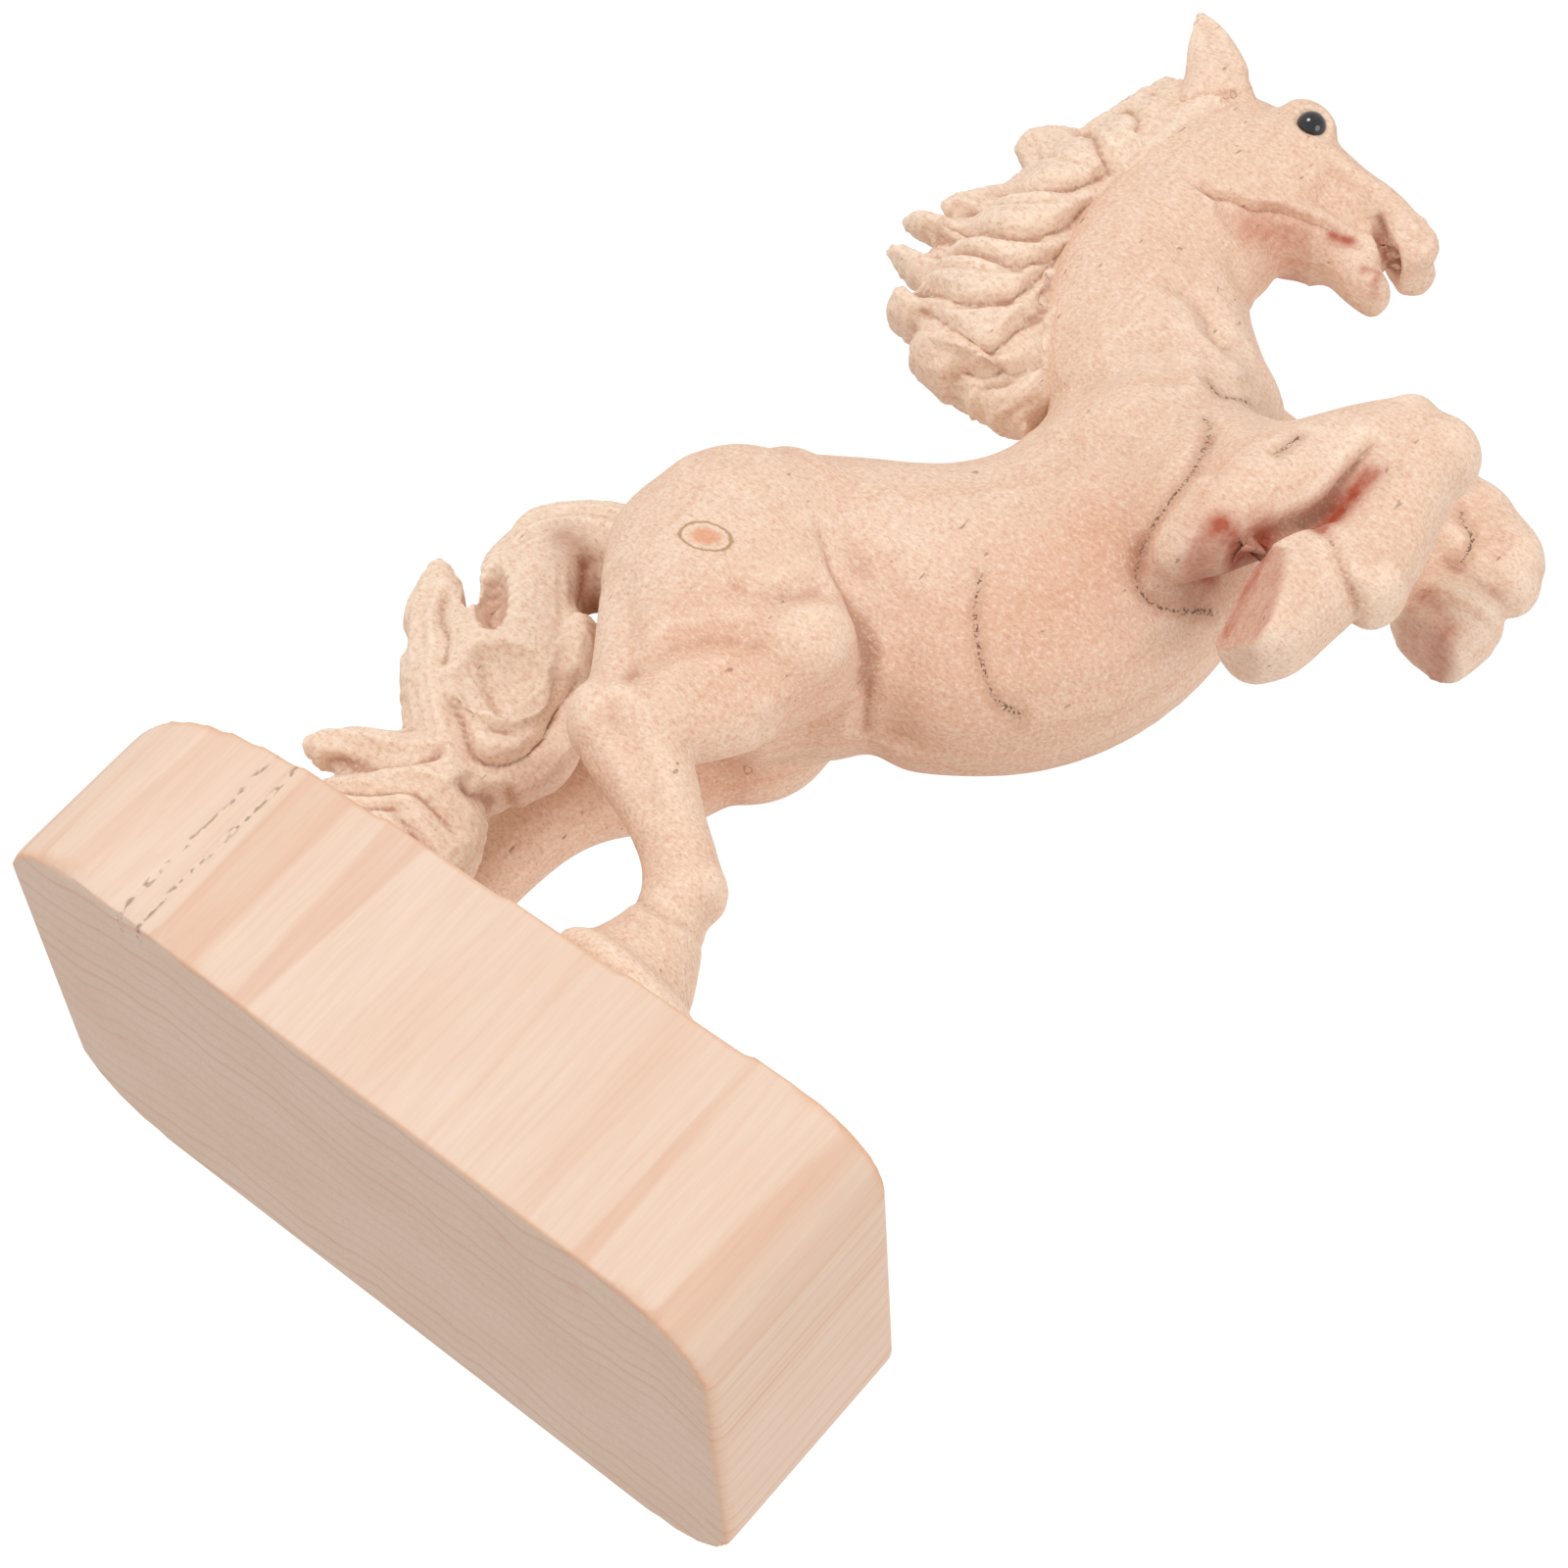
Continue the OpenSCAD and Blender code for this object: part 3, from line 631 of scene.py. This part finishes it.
TAIL_STRANDS = [
    [(-24.6, 66.6), (-29.6, 64.8), (-33.4, 61.4), (-34.4, 57)],
    [(-25, 63.8), (-29.4, 62.8), (-31.6, 60.4), (-33.6, 55.6)],
    [(-26.6, 46.4), (-23.4, 44), (-20.3, 42.7), (-19.3, 45), (-19.3, 48.1), (-20.8, 52.2)],
    [(-27.4, 43.4), (-23.6, 41.6), (-19.8, 41.4), (-18.4, 44.4), (-19, 47.6)],
    [(-28.4, 42.6), (-24.4, 39.4), (-20.4, 36.6), (-16.6, 37.2)],
    [(-37, 51), (-34.6, 46.6), (-31, 43)],
    [(-33.4, 32), (-28.6, 33.4), (-23.6, 35.4)],
    [(-29.6, 29.2), (-25.4, 31), (-21, 33), (-15.6, 33)],
    [(-24.6, 26.4), (-20.6, 30), (-15.6, 29.6)],
]
# The full upper edge of the tail's root
TAIL_TOP = [(-23, 68.6), (-29.6, 67.8), (-34.6, 65.2), (-37.4, 61.6)]
# Hollows scooped from each side of the tail, as for ball(): the eye of the curl and the basin below it
SCOOPS = [(-30.3, 52.0, 7.0, 4.7, 1.7, 5.2, -47), (-22.4, 45.6, 9.4, 6.4, 5.0, 5.2, 15)]
# The slit beside the curl, which goes right through
SLIT = (-36, 55, 0, 7.4, 1.0, 14, -46)
HAIR_HEIGHT = 0.1       # of the fine hairs, in mm


def carve_hair(piece, valleys, strands, hair_width):
    """V-shaped valleys part the locks, shallow strands run between them, and fine hairs follow both."""
    p = corners(piece)
    out = normals(piece)
    for line, depth in valleys:
        p = groove(p, out, line, 1.5, depth, "both", "V", fade=0.12)
        p = groove(p, out, line, 3.0, 0.3 * depth, "both", "round", fade=0.12)
    for line in strands:
        p = groove(p, out, line, 0.9, 0.5, "both", "V", fade=0.2)
    set_corners(piece, p)
    gap = np.full(len(p), np.inf)
    for line in [line for line, depth in valleys] + strands:
        gap = np.minimum(gap, distance(p, line)[0])
    ripple = np.cos(2 * math.pi * gap / hair_width) * np.clip(gap / 0.6, 0, 1) * HAIR_HEIGHT
    set_corners(piece, p + normals(piece) * ripple[:, None])


NECK_EDGE = [(-13, 136), (-12, 122), (-9, 112), (-6, 103)]      # where the mane meets the neck


def build_mane():
    locks = [
        lock([(-14, 138), (-17, 140.6), (-19.4, 141.8), (-20.9, 141.8)], 4.6, 5.4, 0, 0.4),
        lock([(-14, 131.6), (-17.4, 134.6), (-20, 135), (-22.5, 133.6)], 6.0, 7.0, 0, 0.35),
        lock([(-14, 126), (-18, 128.4), (-23, 129.2), (-27, 127.2)], 7.4, 9, 0, 0.4),
        lock([(-13, 123), (-18, 122.6), (-23, 120), (-28.2, 116.9)], 7.6, 11, 0, 0.22),
        lock([(-12, 119), (-17, 116), (-23, 113.8), (-29.9, 113)], 6.2, 11.5, -0.5, 0.25),
        lock([(-12, 115), (-16, 111), (-22, 108.6), (-28.8, 109)], 6.2, 12, 0.5, 0.22),
        lock([(-11, 111), (-14.6, 107), (-19, 104.6), (-25, 104.4)], 8.0, 13.5, 0, 0.5),
        lock([(-8, 110), (-10.6, 105), (-14, 101.8), (-20, 101.4)], 8.6, 14.5, 0, 0.5),
        lock([(-6, 106), (-6.6, 103.6), (-8.4, 100.8), (-12.6, 100)], 7.4, 14, 0, 0.6),
    ]
    # under the locks the hair is solid, and its inner edge runs on inside the neck
    bed = lock([(-16, 139), (-18, 131), (-20, 122), (-21, 114), (-18, 107), (-12, 103)], 11, 8, 0, 0.5)
    crest = lock([(-13, 141), (-13.4, 134), (-12.6, 126), (-10.8, 118), (-8, 110), (-6, 104)],
                 8, 11.5, 0, 0.9)
    piece = join([copy_of("mane"), bed, crest] + locks, "carved_mane")
    remesh(piece, HAIR_VOXEL, smooth=6)
    carve_hair(piece, MANE_VALLEYS, MANE_STRANDS, 0.9)
    # the roots of the lower locks stay within the neck, which leaves less room further in
    p = corners(piece)
    room = 5.0 - 0.55 * (p[:, 0] + 7.4)
    low = (p[:, 2] < 116) & (p[:, 0] > -12)
    p[low, 1] = np.clip(p[low, 1], -room[low], room[low])
    set_corners(piece, p)
    from_neck = distance(corners(piece), NECK_EDGE)[0]
    relax_where(piece, np.clip(1.5 - from_neck / 2.4, 0, 1), 7)
    relax(piece, 0.3)
    bpy.ops.object.shade_smooth()
    paint_hollows(piece, 8)
    finish(piece, hair_wood())
    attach(piece, "root")
    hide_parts("mane")
    return piece


def build_tail():
    locks = [
        lock([(-27, 44), (-32, 46.4), (-36, 50), (-39.4, 53.8)], 8.4, 10, 0, 0.16),
        lock([(-22, 34), (-27, 34.4), (-31.6, 33), (-35.4, 30.8)], 6.6, 10, 0, 0.3),
        lock([(-22, 28), (-26, 26.6), (-30, 26), (-33.8, 25.8)], 5.0, 11, 0, 0.25),
    ]
    fills = [
        ball(-28.2, 60.2, 0, 6.4, 3.6, 4.7, 25),                          # the root is one with the curl
        ball(-20.8, 53.4, -1, 5.4, 2.0, 4.8, -50),                        # edge along the rump
    ]
    piece = join([copy_of("tail")] + locks + fills, "carved_tail")
    remesh(piece, HAIR_VOXEL, smooth=3)
    cutters = [ball(x, z, side * y, *sizes) for x, z, y, *sizes in SCOOPS for side in (-1, 1)]
    cutters.append(ball(*SLIT))
    for cutter in cutters:
        apply_modifier(piece, "BOOLEAN", operation="DIFFERENCE", solver="EXACT", object=cutter)
        bpy.data.objects.remove(cutter)
    remesh(piece, HAIR_VOXEL, smooth=4)
    p = corners(piece)
    set_corners(piece, groove(p, normals(piece), TAIL_TOP, 3.4, -1.2, "both", "round"))
    carve_hair(piece, TAIL_VALLEYS, TAIL_STRANDS, 1.0)
    relax(piece, 0.3)
    bpy.ops.object.shade_smooth()
    paint_hollows(piece, 8)
    paint_stains(piece, ((TAIL_STAINS, "both"),))
    finish(piece, hair_wood())
    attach(piece, "root")
    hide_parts("tail")
    return piece


def build_block():
    """The block: its edges eased by sanding, the near rear edge of its underside a little more."""
    piece = join([copy_of("base")], "block")
    remesh(piece, BLOCK_VOXEL, smooth=5)
    p = corners(piece)
    rear = np.clip((p[:, 0].min() + 30 - p[:, 0]) / 20, 0, 1)
    near_edge = np.clip(1 - (p[:, 1] + np.ptp(p[:, 1]) / 2 + p[:, 2]) / 1.6, 0, 1)
    uneven = 0.6 + 0.4 * np.sin(p[:, 0] * 0.9) * np.sin(p[:, 0] * 0.37 + 1)
    set_corners(piece, p - normals(piece) * (0.7 * rear * near_edge * uneven)[:, None])
    p = corners(piece)
    p[:, 2] = np.maximum(p[:, 2], 0)
    set_corners(piece, p)
    bpy.ops.object.shade_smooth()
    paint_hollows(piece, 6)
    finish(piece, block_wood())
    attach(piece, "root")
    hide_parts("base")


PEG_LENGTH = 0.8        # of the bead's radius
PEG_START = 0.86


def build_bead(node, side):
    """A glass bead: a ball whose back is drawn out into a short peg that sits in the head."""
    low, high = (Vector(corner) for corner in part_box(node))
    radius = (high.x - low.x) / 2
    deselect_all()
    bpy.ops.mesh.primitive_uv_sphere_add(segments=64, ring_count=32, radius=radius)
    piece = bpy.context.object
    piece.name = node + "_bead"
    piece.data.name = piece.name
    back = [face.center.z < -PEG_START * radius for face in piece.data.polygons]
    edit_chosen(piece, "FACE", back)
    bpy.ops.mesh.extrude_region_move(TRANSFORM_OT_translate={"value": (0, 0, -PEG_LENGTH * radius)})
    bpy.ops.object.mode_set(mode="OBJECT")
    piece.rotation_euler = (math.radians(-90 * side), 0, 0)
    piece.location = (low + high) / 2
    bpy.ops.object.transform_apply(location=True, rotation=True, scale=True)
    bpy.ops.object.shade_smooth_by_angle(angle=math.radians(40))
    finish(piece, glass_bead())
    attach(piece, "root")
    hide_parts(node)


# ---------------------------------------------------------------- finishes


class Value:
    """An output to reckon with: each operator adds the Math node that it stands for."""

    def __init__(self, nodes, socket):
        self.nodes = nodes
        self.socket = socket

    def math(self, operation, *values, **settings):
        settings["operation"] = operation
        return self.nodes.add("ShaderNodeMath", settings, dict(enumerate(values)))

    def output(self, name):
        """Another output of the same node."""
        return Value(self.nodes, self.socket.node.outputs[name])

    def __add__(self, other):
        return self.math("ADD", self, other)

    def __radd__(self, other):
        return self.math("ADD", other, self)

    def __sub__(self, other):
        return self.math("SUBTRACT", self, other)

    def __mul__(self, other):
        return self.math("MULTIPLY", self, other)

    def __rmul__(self, other):
        return self.math("MULTIPLY", other, self)

    def __truediv__(self, other):
        return self.math("DIVIDE", self, other)

    def fraction(self):
        return self.math("FRACT", self)

    def whole(self):
        return self.math("FLOOR", self)

    def size(self):
        return self.math("ABSOLUTE", self)

    def clamped(self):
        return self.math("ADD", self, 0.0, use_clamp=True)

    def rise(self, start, end):
        """0 at start, 1 at end, and an easy slope between; start may be the larger."""
        return self.nodes.add("ShaderNodeMapRange", {"interpolation_type": "SMOOTHSTEP"},
                              {"Value": self, "From Min": start, "From Max": end})


class Nodes:
    """One material and the nodes that make it."""

    def __init__(self, name):
        self.material = bpy.data.materials.new(name)
        self.material.use_nodes = True
        self.tree = self.material.node_tree
        self.tree.nodes.clear()

    def add(self, kind, settings=None, sockets=None, output=0):
        """Adds a node, sets it up, fills or links its sockets and returns one of its outputs."""
        made = self.tree.nodes.new(kind)
        for key, value in (settings or {}).items():
            setattr(made, key, value)
        for key, value in (sockets or {}).items():
            if isinstance(value, Value):
                self.tree.links.new(value.socket, made.inputs[key])
            else:
                made.inputs[key].default_value = value
        return Value(self, made.outputs[output])

    def place(self):
        """Object coordinates in mm."""
        metres = self.add("ShaderNodeTexCoord", output="Object")
        return self.add("ShaderNodeVectorMath", {"operation": "SCALE"}, {0: metres, "Scale": 1 / MM})

    def stretched(self, vector, x, y, z):
        return self.add("ShaderNodeVectorMath", {"operation": "MULTIPLY"}, {0: vector, 1: (x, y, z)})

    def noise(self, vector, scale=1.0, detail=2.0, roughness=0.5):
        return self.add("ShaderNodeTexNoise", None,
                        {"Vector": vector, "Scale": scale, "Detail": detail, "Roughness": roughness})

    def painted(self, name):
        return self.add("ShaderNodeAttribute", {"attribute_name": name}, output="Fac")

    def mixed(self, share, first, second):
        """The first colour, with a share of the second; the numbers are the node's colour sockets."""
        return self.add("ShaderNodeMix", {"data_type": "RGBA"}, {0: share, 6: first, 7: second}, 2)

    def relief(self, height, strength, reach):
        """A bumpy surface whose full height is the reach, in mm."""
        sockets = {"Height": height, "Strength": strength, "Distance": reach * MM}
        return self.add("ShaderNodeBump", None, sockets)

    def surface(self, color, roughness, **others):
        """The material with its shader; the others are the shader's sockets, with _ for each space."""
        sockets = {key.replace("_", " "): value for key, value in others.items()}
        sockets.update({"Base Color": color, "Roughness": roughness})
        return self.shown(self.add("ShaderNodeBsdfPrincipled", None, sockets))

    def shown(self, shader):
        """The finished material, with this shader as its surface."""
        out = self.tree.nodes.new("ShaderNodeOutputMaterial")
        self.tree.links.new(shader.socket, out.inputs["Surface"])
        return self.material


def shade(red, green, blue):
    """A colour given from 0 to 255 as it is seen, made linear."""
    return tuple(c / 12.92 if c <= 0.04045 else ((c + 0.055) / 1.055) ** 2.4
                 for c in (red / 255, green / 255, blue / 255)) + (1.0,)


PALE = shade(235, 206, 183)
DEEP = shade(224, 187, 160)
HAIR_PALE = shade(237, 213, 190)
BLOCK_PALE = shade(230, 204, 184)
BLOCK_DEEP = shade(225, 194, 170)
LATE_WOOD = shade(206, 138, 96)
FIBRE = shade(196, 132, 98)
# The next two are painted light: a highlight for the ridges and shade for the hollows
RIDGE_HIGHLIGHT = shade(250, 226, 203)
CREVICE_SHADE = shade(158, 92, 62)
# ruddier wood, which also stands for painted shade in the soft hollows
RUDDY_WOOD_AND_SHADE = shade(212, 150, 116)
DARK_TUFT = shade(190, 128, 94)
LIGHT_TUFT = shade(252, 238, 222)
SPECK = shade(120, 70, 46)
RED_STAIN = shade(166, 58, 22)
HAIR_STAIN = shade(150, 76, 44)
RING_SHADOW = shade(160, 108, 72)
RING_DASH = shade(84, 58, 42)
KNOT_HEART = shade(216, 132, 84)
KNOT_RIM = shade(152, 108, 52)
STREAK = shade(206, 146, 98)
BLOCK_DASH = shade(120, 94, 72)
BLOCK_EDGE = shade(226, 160, 108)
BEAD_DARK = shade(14, 12, 16)
BEAD_LIGHT = shade(30, 28, 36)


def finish(piece, material):
    """Gives a piece its one material."""
    piece.data.materials.clear()
    piece.data.materials.append(material)


CARVING_RINGS = 3.4             # from one growth ring to the next, in mm
BLOCK_RINGS = 2.6
PAIR_AT = 23.6                  # how far behind the middle the block's pair of dark lines runs
PAIR_HALF_GAP = 1.1
LOG_MIDDLE = (6.0, 320.0)       # x and y of the middle of the log, far out on the off side, in mm
RING_WANDER = 9.0               # how far the growth rings stray from true circles, in mm


def grain(nodes, spacing):
    """(late wood of the growth rings, fine fibres, place in mm) for wood whose fibres run upright."""
    place = nodes.place()
    wander = nodes.noise(nodes.stretched(place, 0.07, 0.02, 0.004))
    offset = nodes.add("ShaderNodeVectorMath", {"operation": "SUBTRACT"},
                       {0: nodes.stretched(place, 1, 1, 0), 1: (*LOG_MIDDLE, 0)})
    out = nodes.add("ShaderNodeVectorMath", {"operation": "LENGTH"}, {0: offset}, "Value")
    rings = (out + wander * RING_WANDER) / spacing
    year = nodes.add("ShaderNodeTexWhiteNoise", {"noise_dimensions": "1D"}, {"W": rings.whole()})
    part = rings.fraction()
    late = part.rise(0.55, 0.93) * part.rise(1.0, 0.94) * (0.25 + 0.75 * year)
    fibres = nodes.noise(nodes.stretched(place, 2.2, 2.2, 0.12), detail=3.0, roughness=0.6)
    return late, fibres, place


def wood(nodes, pale, deep, spacing, ring_strength):
    """(bare colour with its soft patches, growth rings and fibres, the fibres, place in mm)."""
    late, fibres, place = grain(nodes, spacing)
    patches = nodes.noise(nodes.stretched(place, 0.07, 0.07, 0.035))
    color = nodes.mixed(patches.rise(0.35, 0.68) * 0.45, pale, deep)
    color = nodes.mixed(late * ring_strength, color, LATE_WOOD)
    return nodes.mixed(fibres.rise(0.3, 0.75) * 0.16, color, FIBRE), fibres, place


def carved(nodes, color, fibres, place, stipple):
    """(colour, height) once carved: painted shade in the hollows, a painted highlight on the ridges and a
    surface roughened by the tool.
    """
    hollow = nodes.painted("hollow")
    # painted shade darkens the hollows and a painted highlight lightens the ridges
    color = nodes.mixed(hollow.rise(0.55, 1.0) * 0.62, color, CREVICE_SHADE)
    color = nodes.mixed(hollow.rise(0.47, 0.2) * 0.5, color, RIDGE_HIGHLIGHT)
    tufts = nodes.noise(nodes.stretched(place, 0.7, 1.0, 1.2), scale=stipple, detail=3.0, roughness=0.7)
    color = nodes.mixed(tufts.rise(0.48, 0.72) * 0.42, color, DARK_TUFT)
    color = nodes.mixed(tufts.rise(0.5, 0.28) * 0.4, color, LIGHT_TUFT)
    specks = nodes.noise(nodes.stretched(place, 1.0, 1.0, 0.4), scale=1.3, detail=1.0)
    color = nodes.mixed(specks.rise(0.74, 0.8) * 0.5, color, SPECK)
    return color, tufts * 0.8 + fibres * 0.35


def carved_wood():
    nodes = Nodes("carved_wood")
    color, fibres, place = wood(nodes, PALE, DEEP, CARVING_RINGS, 0.22)
    # ruddier wood under the barrel and painted shade in the soft hollows
    color = nodes.mixed(nodes.painted("ruddy_and_shade") * 0.5, color, RUDDY_WOOD_AND_SHADE)
    color, height = carved(nodes, color, fibres, place, stipple=2.7)
    torn = nodes.noise(nodes.stretched(place, 1.2, 1.2, 0.4), detail=3.0)
    stain = (nodes.painted("stain") * (0.35 + 1.3 * torn)).clamped()
    color = nodes.mixed(stain * 0.85, color, RED_STAIN)
    fuzz = nodes.noise(place, scale=1.6)
    gap = nodes.painted("ring_line") + (fuzz - 0.5) * 0.3
    dots = nodes.noise(place, scale=4.2, detail=0.0).rise(0.42, 0.55)
    color = nodes.mixed(gap.rise(1.2, 0.2) * 0.25, color, RING_SHADOW)
    color = nodes.mixed(gap.rise(0.3, 0.1) * dots * 0.75, color, RING_DASH)
    knot = nodes.painted("knot") + (fuzz - 0.5) * 0.2
    color = nodes.mixed(knot.rise(0.85, 0.3) * 0.6, color, KNOT_HEART)
    rim = knot.rise(0.88, 0.99) * knot.rise(1.14, 1.02)
    color = nodes.mixed(rim * 0.65, color, KNOT_RIM)
    return nodes.surface(color, 0.78, Normal=nodes.relief(height, 0.65, 0.2), Specular_IOR_Level=0.25)


def hair_wood():
    nodes = Nodes("hair_wood")
    color, fibres, place = wood(nodes, HAIR_PALE, PALE, CARVING_RINGS, 0.16)
    color, height = carved(nodes, color, fibres, place, stipple=2.2)
    color = nodes.mixed(nodes.painted("stain") * 0.8, color, HAIR_STAIN)
    return nodes.surface(color, 0.8, Normal=nodes.relief(height, 0.6, 0.18), Specular_IOR_Level=0.25)


def block_wood():
    nodes = Nodes("block_wood")
    color, fibres, place = wood(nodes, BLOCK_PALE, BLOCK_DEEP, BLOCK_RINGS, 0.32)
    streaks = nodes.noise(nodes.stretched(place, 0.22, 0.22, 0.006), detail=3.0, roughness=0.6)
    color = nodes.mixed(streaks.rise(0.6, 0.75) * 0.22, color, STREAK)
    fuzz = nodes.noise(nodes.stretched(place, 1.6, 1.6, 0.3))
    # a pair of broken dark lines up the near side
    across = nodes.add("ShaderNodeSeparateXYZ", None, {0: place}, "X")
    along = across.output("Y")
    drift = across + (fuzz - 0.5) * 0.9 + PAIR_AT
    mark = (drift.size() - PAIR_HALF_GAP).size()
    dashes = nodes.noise(nodes.stretched(place, 2.0, 2.0, 0.9), detail=1.0).rise(0.48, 0.62)
    near = along.rise(-20.0, -23.0)
    color = nodes.mixed(mark.rise(0.4, 0.05) * dashes * near * 0.6, color, BLOCK_DASH)
    color = nodes.mixed(nodes.painted("hollow").rise(0.42, 0.15) * 0.45, color, BLOCK_EDGE)
    relief = nodes.relief(fibres + fuzz * 0.5, 0.25, 0.06)
    return nodes.surface(color, 0.72, Normal=relief, Specular_IOR_Level=0.3)


def glass_bead():
    nodes = Nodes("glass_bead")
    haze = nodes.noise(nodes.place(), scale=1.2, detail=1.0)
    color = nodes.mixed(haze.rise(0.4, 0.7), BEAD_DARK, BEAD_LIGHT)
    return nodes.surface(color, 0.12, Coat_Weight=0.6, Coat_Roughness=0.05)


# ---------------------------------------------------------------- studio

CAMERA_AT = (0.13975, -0.32980, -0.09250)
LOOK_AT = (0.0011, 0.0, 0.0550)
ROLL = 43.4                             # how far the camera leans to one side, in degrees
LENS, SENSOR = 97.5, 36                 # in mm
LIGHTS_AIM = (0, 0, 0.07)
AMBIENT = 0.74                          # how strongly the white studio lights the carving
BACKDROP = 1.05                         # how bright the studio looks behind it
FLOOR_SIZE, FLOOR_DROP = 1.3, 0.0002    # the drop keeps the floor just clear of the block


def build_camera():
    data = bpy.data.cameras.new("camera")
    data.lens = LENS
    data.sensor_width = SENSOR
    data.clip_start = 0.01
    camera = bpy.data.objects.new("camera", data)
    bpy.context.scene.collection.objects.link(camera)
    back = (Vector(CAMERA_AT) - Vector(LOOK_AT)).normalized()
    right = Vector((0, 0, 1)).cross(back).normalized()
    up = back.cross(right)
    level = Matrix((right, up, back)).transposed()
    camera.matrix_world = (Matrix.Translation(CAMERA_AT) @ level.to_4x4()
                           @ Matrix.Rotation(math.radians(ROLL), 4, "Z"))
    bpy.context.scene.camera = camera


def light(name, at, size, watts):
    """A round lamp of so many metres across, turned towards the carving."""
    data = bpy.data.lights.new(name, "AREA")
    data.shape = "DISK"
    data.size = size
    data.energy = watts
    lamp = bpy.data.objects.new(name, data)
    bpy.context.scene.collection.objects.link(lamp)
    lamp.location = at
    lamp.rotation_euler = (Vector(LIGHTS_AIM) - Vector(at)).to_track_quat("-Z", "Y").to_euler()


def build_studio():
    """A white room that looks brighter than it shines, and three lamps."""
    world = bpy.data.worlds.new("studio")
    bpy.context.scene.world = world
    world.use_nodes = True
    tree = world.node_tree
    rays = tree.nodes.new("ShaderNodeLightPath")
    bright = tree.nodes.new("ShaderNodeMapRange")
    bright.inputs["To Min"].default_value = AMBIENT
    bright.inputs["To Max"].default_value = BACKDROP
    tree.links.new(rays.outputs["Is Camera Ray"], bright.inputs["Value"])
    tree.nodes["Background"].inputs["Color"].default_value = (1, 1, 1, 1)
    tree.links.new(bright.outputs["Result"], tree.nodes["Background"].inputs["Strength"])
    light("key", (-0.35, -0.8, 0.1), 0.35, 3.0)
    light("fill", (0.8, -0.3, 0.1), 0.6, 2.0)
    light("back", (-0.2, 0.7, 0.6), 0.5, 3.0)
    bpy.context.scene.view_settings.view_transform = "Standard"


def build_floor():
    """A pale floor that shows only from above, so that the low camera looks past it."""
    deselect_all()
    bpy.ops.mesh.primitive_plane_add(size=FLOOR_SIZE, location=(0, 0, -FLOOR_DROP))
    floor = bpy.context.object
    floor.name = "floor"
    bpy.ops.object.transform_apply(location=True, rotation=True, scale=True)
    nodes = Nodes("floor")
    back = nodes.add("ShaderNodeNewGeometry", output="Backfacing")
    matt = nodes.add("ShaderNodeBsdfPrincipled", None, {"Base Color": (0.9, 0.9, 0.9, 1), "Roughness": 0.9})
    clear = nodes.add("ShaderNodeBsdfTransparent")
    both = nodes.add("ShaderNodeMixShader", None, {0: back, 1: matt, 2: clear})
    finish(floor, nodes.shown(both))
    floor.visible_diffuse = False
    floor.visible_glossy = False
    floor.visible_shadow = False


build_camera()
build_studio()
build_floor()
build_block()
build_carving()
build_mane()
build_tail()
build_bead("near_eye", -1)
build_bead("off_eye", 1)
